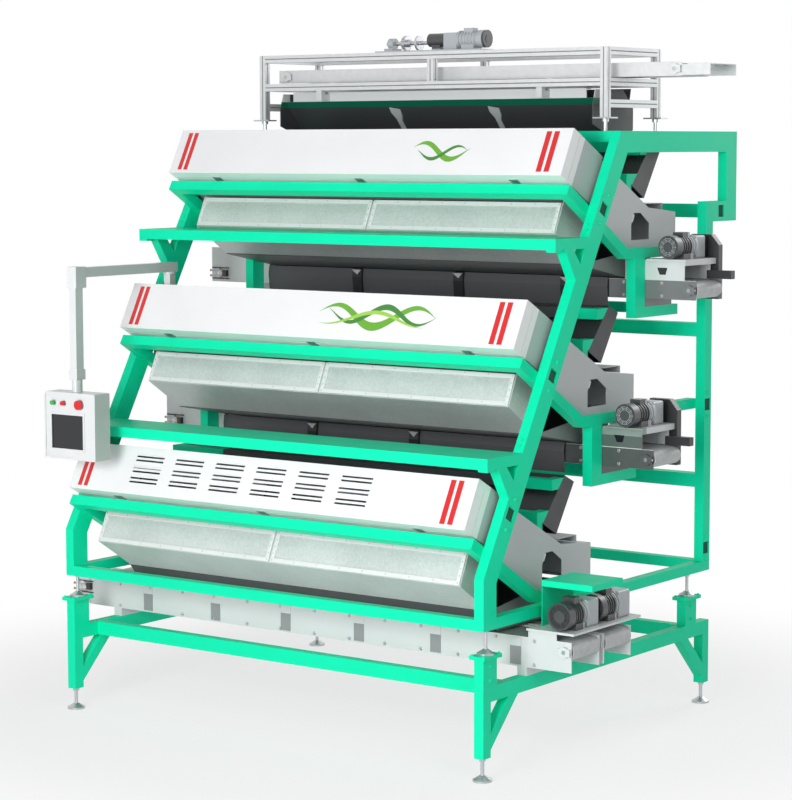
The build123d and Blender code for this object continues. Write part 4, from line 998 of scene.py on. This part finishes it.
def takeUps():
    # adjusting rails, threaded rods and nuts at the tail end of each belt
    rails, rods, spots = bmesh.new(), bmesh.new(), []
    railStart, railEnd = tail["rail"]
    for (y, low, high), middle in zip(layout["lanes"], tail["middles"]):
        rodY = y - tail["rodOut"]
        for side in (-1, 1):
            z = middle + side * tail["railOffset"]
            corner = place(railStart, y - tail["railOut"], z - tail["railHalf"])
            addBox(rails, corner, place(railEnd, y, z + tail["railHalf"]))
            z = middle + side * tail["rodOffset"]
            strut(rods, *[place(x, rodY, z) for x in tail["rod"]], tail["rodRadius"], tail["sides"])
            for turn in range(tail["threadCount"]):
                x = tail["threadStart"] + turn * tail["threadPitch"]
                ends = place(x, rodY, z), place(x + tail["threadWidth"], rodY, z)
                strut(rods, *ends, tail["threadRadius"], tail["sides"])
            spots += [(place(x, rodY, z), Vector((1, 0, 0))) for x in tail["nuts"]]
    meshPiece("takeUpRails", rails, "black", tail["bevel"])
    meshPiece("takeUpRods", rods, "steel")
    spread("takeUpNuts", "hex", spots, tail["nutSizes"], "bronze")


groove = {
    "half": 0.0030, "proud": 0.0004, "sunk": 0.0005,
    # the frame's outside, the members' own size, and heights of posts and of the rails' upper faces
    "left": 0.228, "right": 2.772, "front": 1.560, "rear": 2.165, "size": 0.045,
    "posts": (3.5015, 3.896), "sideRails": (3.898, 3.722, 3.600), "longRails": (3.898, 3.722),
    "middleX": 1.518, "middlePosts": (3.722, 3.853),
}


def profileGrooves():
    # dark grey strips along the aluminium members of the top frame, painted shade for their T-slots
    size, half = groove["size"], groove["size"] / 2
    xs, ys = (groove["left"], groove["right"] - size), (groove["front"], groove["rear"] - size)
    members = []
    for x in xs:
        for y in ys:
            members.append(((x + half, y + half, groove["posts"][0]), 2, groove["posts"][1]))
        for high in groove["sideRails"]:
            members.append(((x + half, ys[0] + size, high - half), 1, ys[1]))
    for y in ys:
        for high in groove["longRails"]:
            members.append(((xs[0] + size, y + half, high - half), 0, xs[1]))
        foot, top = groove["middlePosts"]
        members.append(((groove["middleX"] + half, y + half, foot), 2, top))
    bm = bmesh.new()
    for start, axis, stop in members:
        for side in [i for i in range(3) if i != axis]:
            other = 3 - axis - side
            for way in (-1, 1):
                low, high = [0, 0, 0], [0, 0, 0]
                low[axis], high[axis] = start[axis], stop
                low[other], high[other] = start[other] - groove["half"], start[other] + groove["half"]
                face = start[side] + way * half
                low[side], high[side] = sorted((face - way * groove["sunk"], face + way * groove["proud"]))
                addBox(bm, place(*low), place(*high))
    meshPiece("profileGrooves", bm, "groove")


shade = {"half": 0.0348, "spans": ((0.010, 0.012), (2.988, 2.990)), "jog": (2.495, 2.950)}


def windowShades():
    # dark plates behind the access windows of the side frames: painted shadow for their dark insides
    spots = [(leanDepth(z) + layout["windowInset"], z, -layout["lean"]) for z in layout["frontWindows"]]
    spots += [(layout["rearWindowY"], z, 0) for z in layout["rearWindows"]] + [(*shade["jog"], 0)]
    bm = bmesh.new()
    for y, z, turn in spots:
        c, s = math.cos(turn) * shade["half"], math.sin(turn) * shade["half"]
        corners = [(y + a * c - b * s, z + a * s + b * c) for a, b in ((-1, -1), (1, -1), (1, 1), (-1, 1))]
        for span in shade["spans"]:
            addPrism(bm, [[place(x, cy, cz) for cy, cz in corners] for x in span])
    meshPiece("windowShades", bm, "shadow")


louvre = {
    "start": 0.635, "pitch": 0.300, "columns": 6, "rows": (0.227, 0.158, 0.094), "pairStep": 0.024, "lift": 0.0145,
    "sizes": {"Length": 0.206, "Radius": 0.0030},
}


def louvreHoods():
    # pressed hood over each cooling slot of the lowest door
    spots = []
    for column in range(louvre["columns"]):
        x = louvre["start"] + louvre["pitch"] * column
        for row in louvre["rows"]:
            for drop in (0.0, louvre["pairStep"]):
                spots.append((tierPoint(3, 0.0, row - drop + louvre["lift"], x), tierOut()))
    spread("louvreHoods", "hood", spots, louvre["sizes"], "door3", "door_3")


tread = {
    "left": 0.0602, "right": 2.9398, "thick": 0.004, "proud": 0.0002, "bevel": 0.0006,
    # front bars: front and top of each, width, and how far the sheet laps it
    "bars": ((0.677, 2.839), (0.034, 1.716)), "barWidth": 0.060, "lap": 0.001,
}


def stepTreads():
    # sheet that closes each step between its front bar and the leaning posts
    bm = bmesh.new()
    for front, top in tread["bars"]:
        low = place(tread["left"], front + tread["barWidth"] - tread["lap"], top - tread["thick"])
        addBox(bm, low, place(tread["right"], leanDepth(top), top + tread["proud"]))
    meshPiece("stepTreads", bm, "green", tread["bevel"], 1)


# x, and height above the side plate, of the corners of the opening
shelfCut = {"outline": ((3.019, 0.070), (3.086, 0.070), (3.074, 0.030), (3.036, 0.030)), "depths": (0.001, -0.0008)}


def shelfCuts():
    # dark tapered plate on the skirt under each motor shelf, painted shade for the opening there
    bm = bmesh.new()
    for y, low, high in layout["lanes"][:2]:
        addPrism(bm, [[place(x, y + depth, high + rise) for x, rise in shelfCut["outline"]]
                      for depth in shelfCut["depths"]])
    meshPiece("shelfCuts", bm, "screen")


clip = {
    # depth and height of the sloping sheet's edges
    "top": (1.660, 3.612), "foot": (1.867, 3.370), "sunk": 0.001, "proud": 0.010, "bevel": 0.0008,
    "middles": (1.178, 1.905),
    "outline": (
        (-0.036, 3.572), (0.036, 3.560), (0.030, 3.520), (0.012, 3.490),
        (0.012, 3.440), (-0.020, 3.440), (-0.022, 3.500), (-0.040, 3.540),
    ),
}


def hopperClips():
    # two bent clips on the sloping front sheet of the top hopper
    (topY, topZ), (footY, footZ) = clip["top"], clip["foot"]
    slope = (footY - topY) / (topZ - footZ)
    bm = bmesh.new()
    for x in clip["middles"]:
        addPrism(bm, [[place(x + dx, topY + (topZ - z) * slope + lift, z) for dx, z in clip["outline"]]
                      for lift in (clip["sunk"], -clip["proud"])])
    meshPiece("hopperClips", bm, "clip", clip["bevel"], 1)


hopperAprons()
hopperClips()
stepTreads()
shelfCuts()
takeUps()
profileGrooves()
windowShades()
louvreHoods()
print("sheets, take-ups, grooves and hoods made")


# floor, backdrop and light
studio = {
    "floorTone": 0.90, "floorRough": 0.9, "floorSize": 60, "floorDrop": 0.0005, "worldStrength": 0.26,
    # the floor turns into the white background between these distances from the middle
    "fadeNear": 2.0, "fadeFar": 4.4, "fadeLeast": 0.66,
    # place, aim, power and size of each lamp
    "lamps": {
        "keyLight": ((2.4, -11.0, 3.4), (0, 0, 1.9), 940.0, 4.0),
        "fillLight": ((8.5, -5.5, 5.5), (0, 0, 1.9), 200.0, 5.0),
        "rearLight": ((2.0, 8.5, 5.0), (0, 0, 2.0), 300.0, 5.0),
    },
}


def seenRays(tree):
    # 1 for what the camera sees, straight or through gloss and glass
    path = tree.nodes.new("ShaderNodeLightPath")
    return anyOf([Sock(tree, path.outputs[f"Is {kind} Ray"]) for kind in ("Camera", "Glossy", "Transmission")])


def mixShaders(tree, factor, first, second):
    # the second shader where the factor is 1
    mix = tree.nodes.new("ShaderNodeMixShader")
    for i, socket in enumerate((factor.socket, first.outputs[0], second.outputs[0])):
        tree.links.new(socket, mix.inputs[i])
    return mix.outputs[0]


def floorFinish():
    material = bpy.data.materials.new("studioFloor")
    material.use_nodes = True
    tree = material.node_tree
    shader = tree.nodes["Principled BSDF"]
    tone = studio["floorTone"]
    shader.inputs["Base Color"].default_value = rgb(tone, tone, tone)
    shader.inputs["Roughness"].default_value = studio["floorRough"]
    glow = tree.nodes.new("ShaderNodeEmission")
    glow.inputs["Strength"].default_value = 1.0
    spot = nodeOf(tree, "ShaderNodeTexCoord", output=3)
    away = nodeOf(tree, "ShaderNodeVectorMath", {"operation": "LENGTH"}, [spot], output=1)
    values = {0: away, 1: studio["fadeNear"], 2: studio["fadeFar"], 3: studio["fadeLeast"], 4: 1.0}
    fade = nodeOf(tree, "ShaderNodeMapRange", {"interpolation_type": "SMOOTHSTEP"}, values)
    both = mixShaders(tree, seenRays(tree) * fade, shader, glow)
    tree.links.new(both, tree.nodes["Material Output"].inputs["Surface"])
    return material


def makeFloor():
    bm = bmesh.new()
    bmesh.ops.create_grid(bm, x_segments=1, y_segments=1, size=studio["floorSize"])
    mesh = bpy.data.meshes.new("studioFloor")
    bm.to_mesh(mesh)
    bm.free()
    mesh.materials.append(floorFinish())
    floor = addObject("studioFloor", mesh)
    floor.location = (0, 0, -studio["floorDrop"])


def makeWorld():
    # soft grey light, seen as plain white
    world = bpy.data.worlds.new("studio")
    world.use_nodes = True
    tree = world.node_tree
    soft, white = tree.nodes["Background"], tree.nodes.new("ShaderNodeBackground")
    for node, strength in ((soft, studio["worldStrength"]), (white, 1.0)):
        node.inputs["Color"].default_value = rgb(1, 1, 1)
        node.inputs["Strength"].default_value = strength
    both = mixShaders(tree, seenRays(tree), soft, white)
    tree.links.new(both, tree.nodes["World Output"].inputs["Surface"])
    bpy.context.scene.world = world


def makeLamps():
    for name, (spot, aim, power, size) in studio["lamps"].items():
        data = bpy.data.lights.new(name, "AREA")
        data.energy = power
        data.size = size
        lamp = addObject(name, data)
        lamp.location = spot
        lamp.rotation_euler = (Vector(aim) - Vector(spot)).to_track_quat("-Z", "Y").to_euler()


makeFloor()
makeWorld()
makeLamps()
bpy.context.scene.view_settings.view_transform = "Standard"
print("studio made")
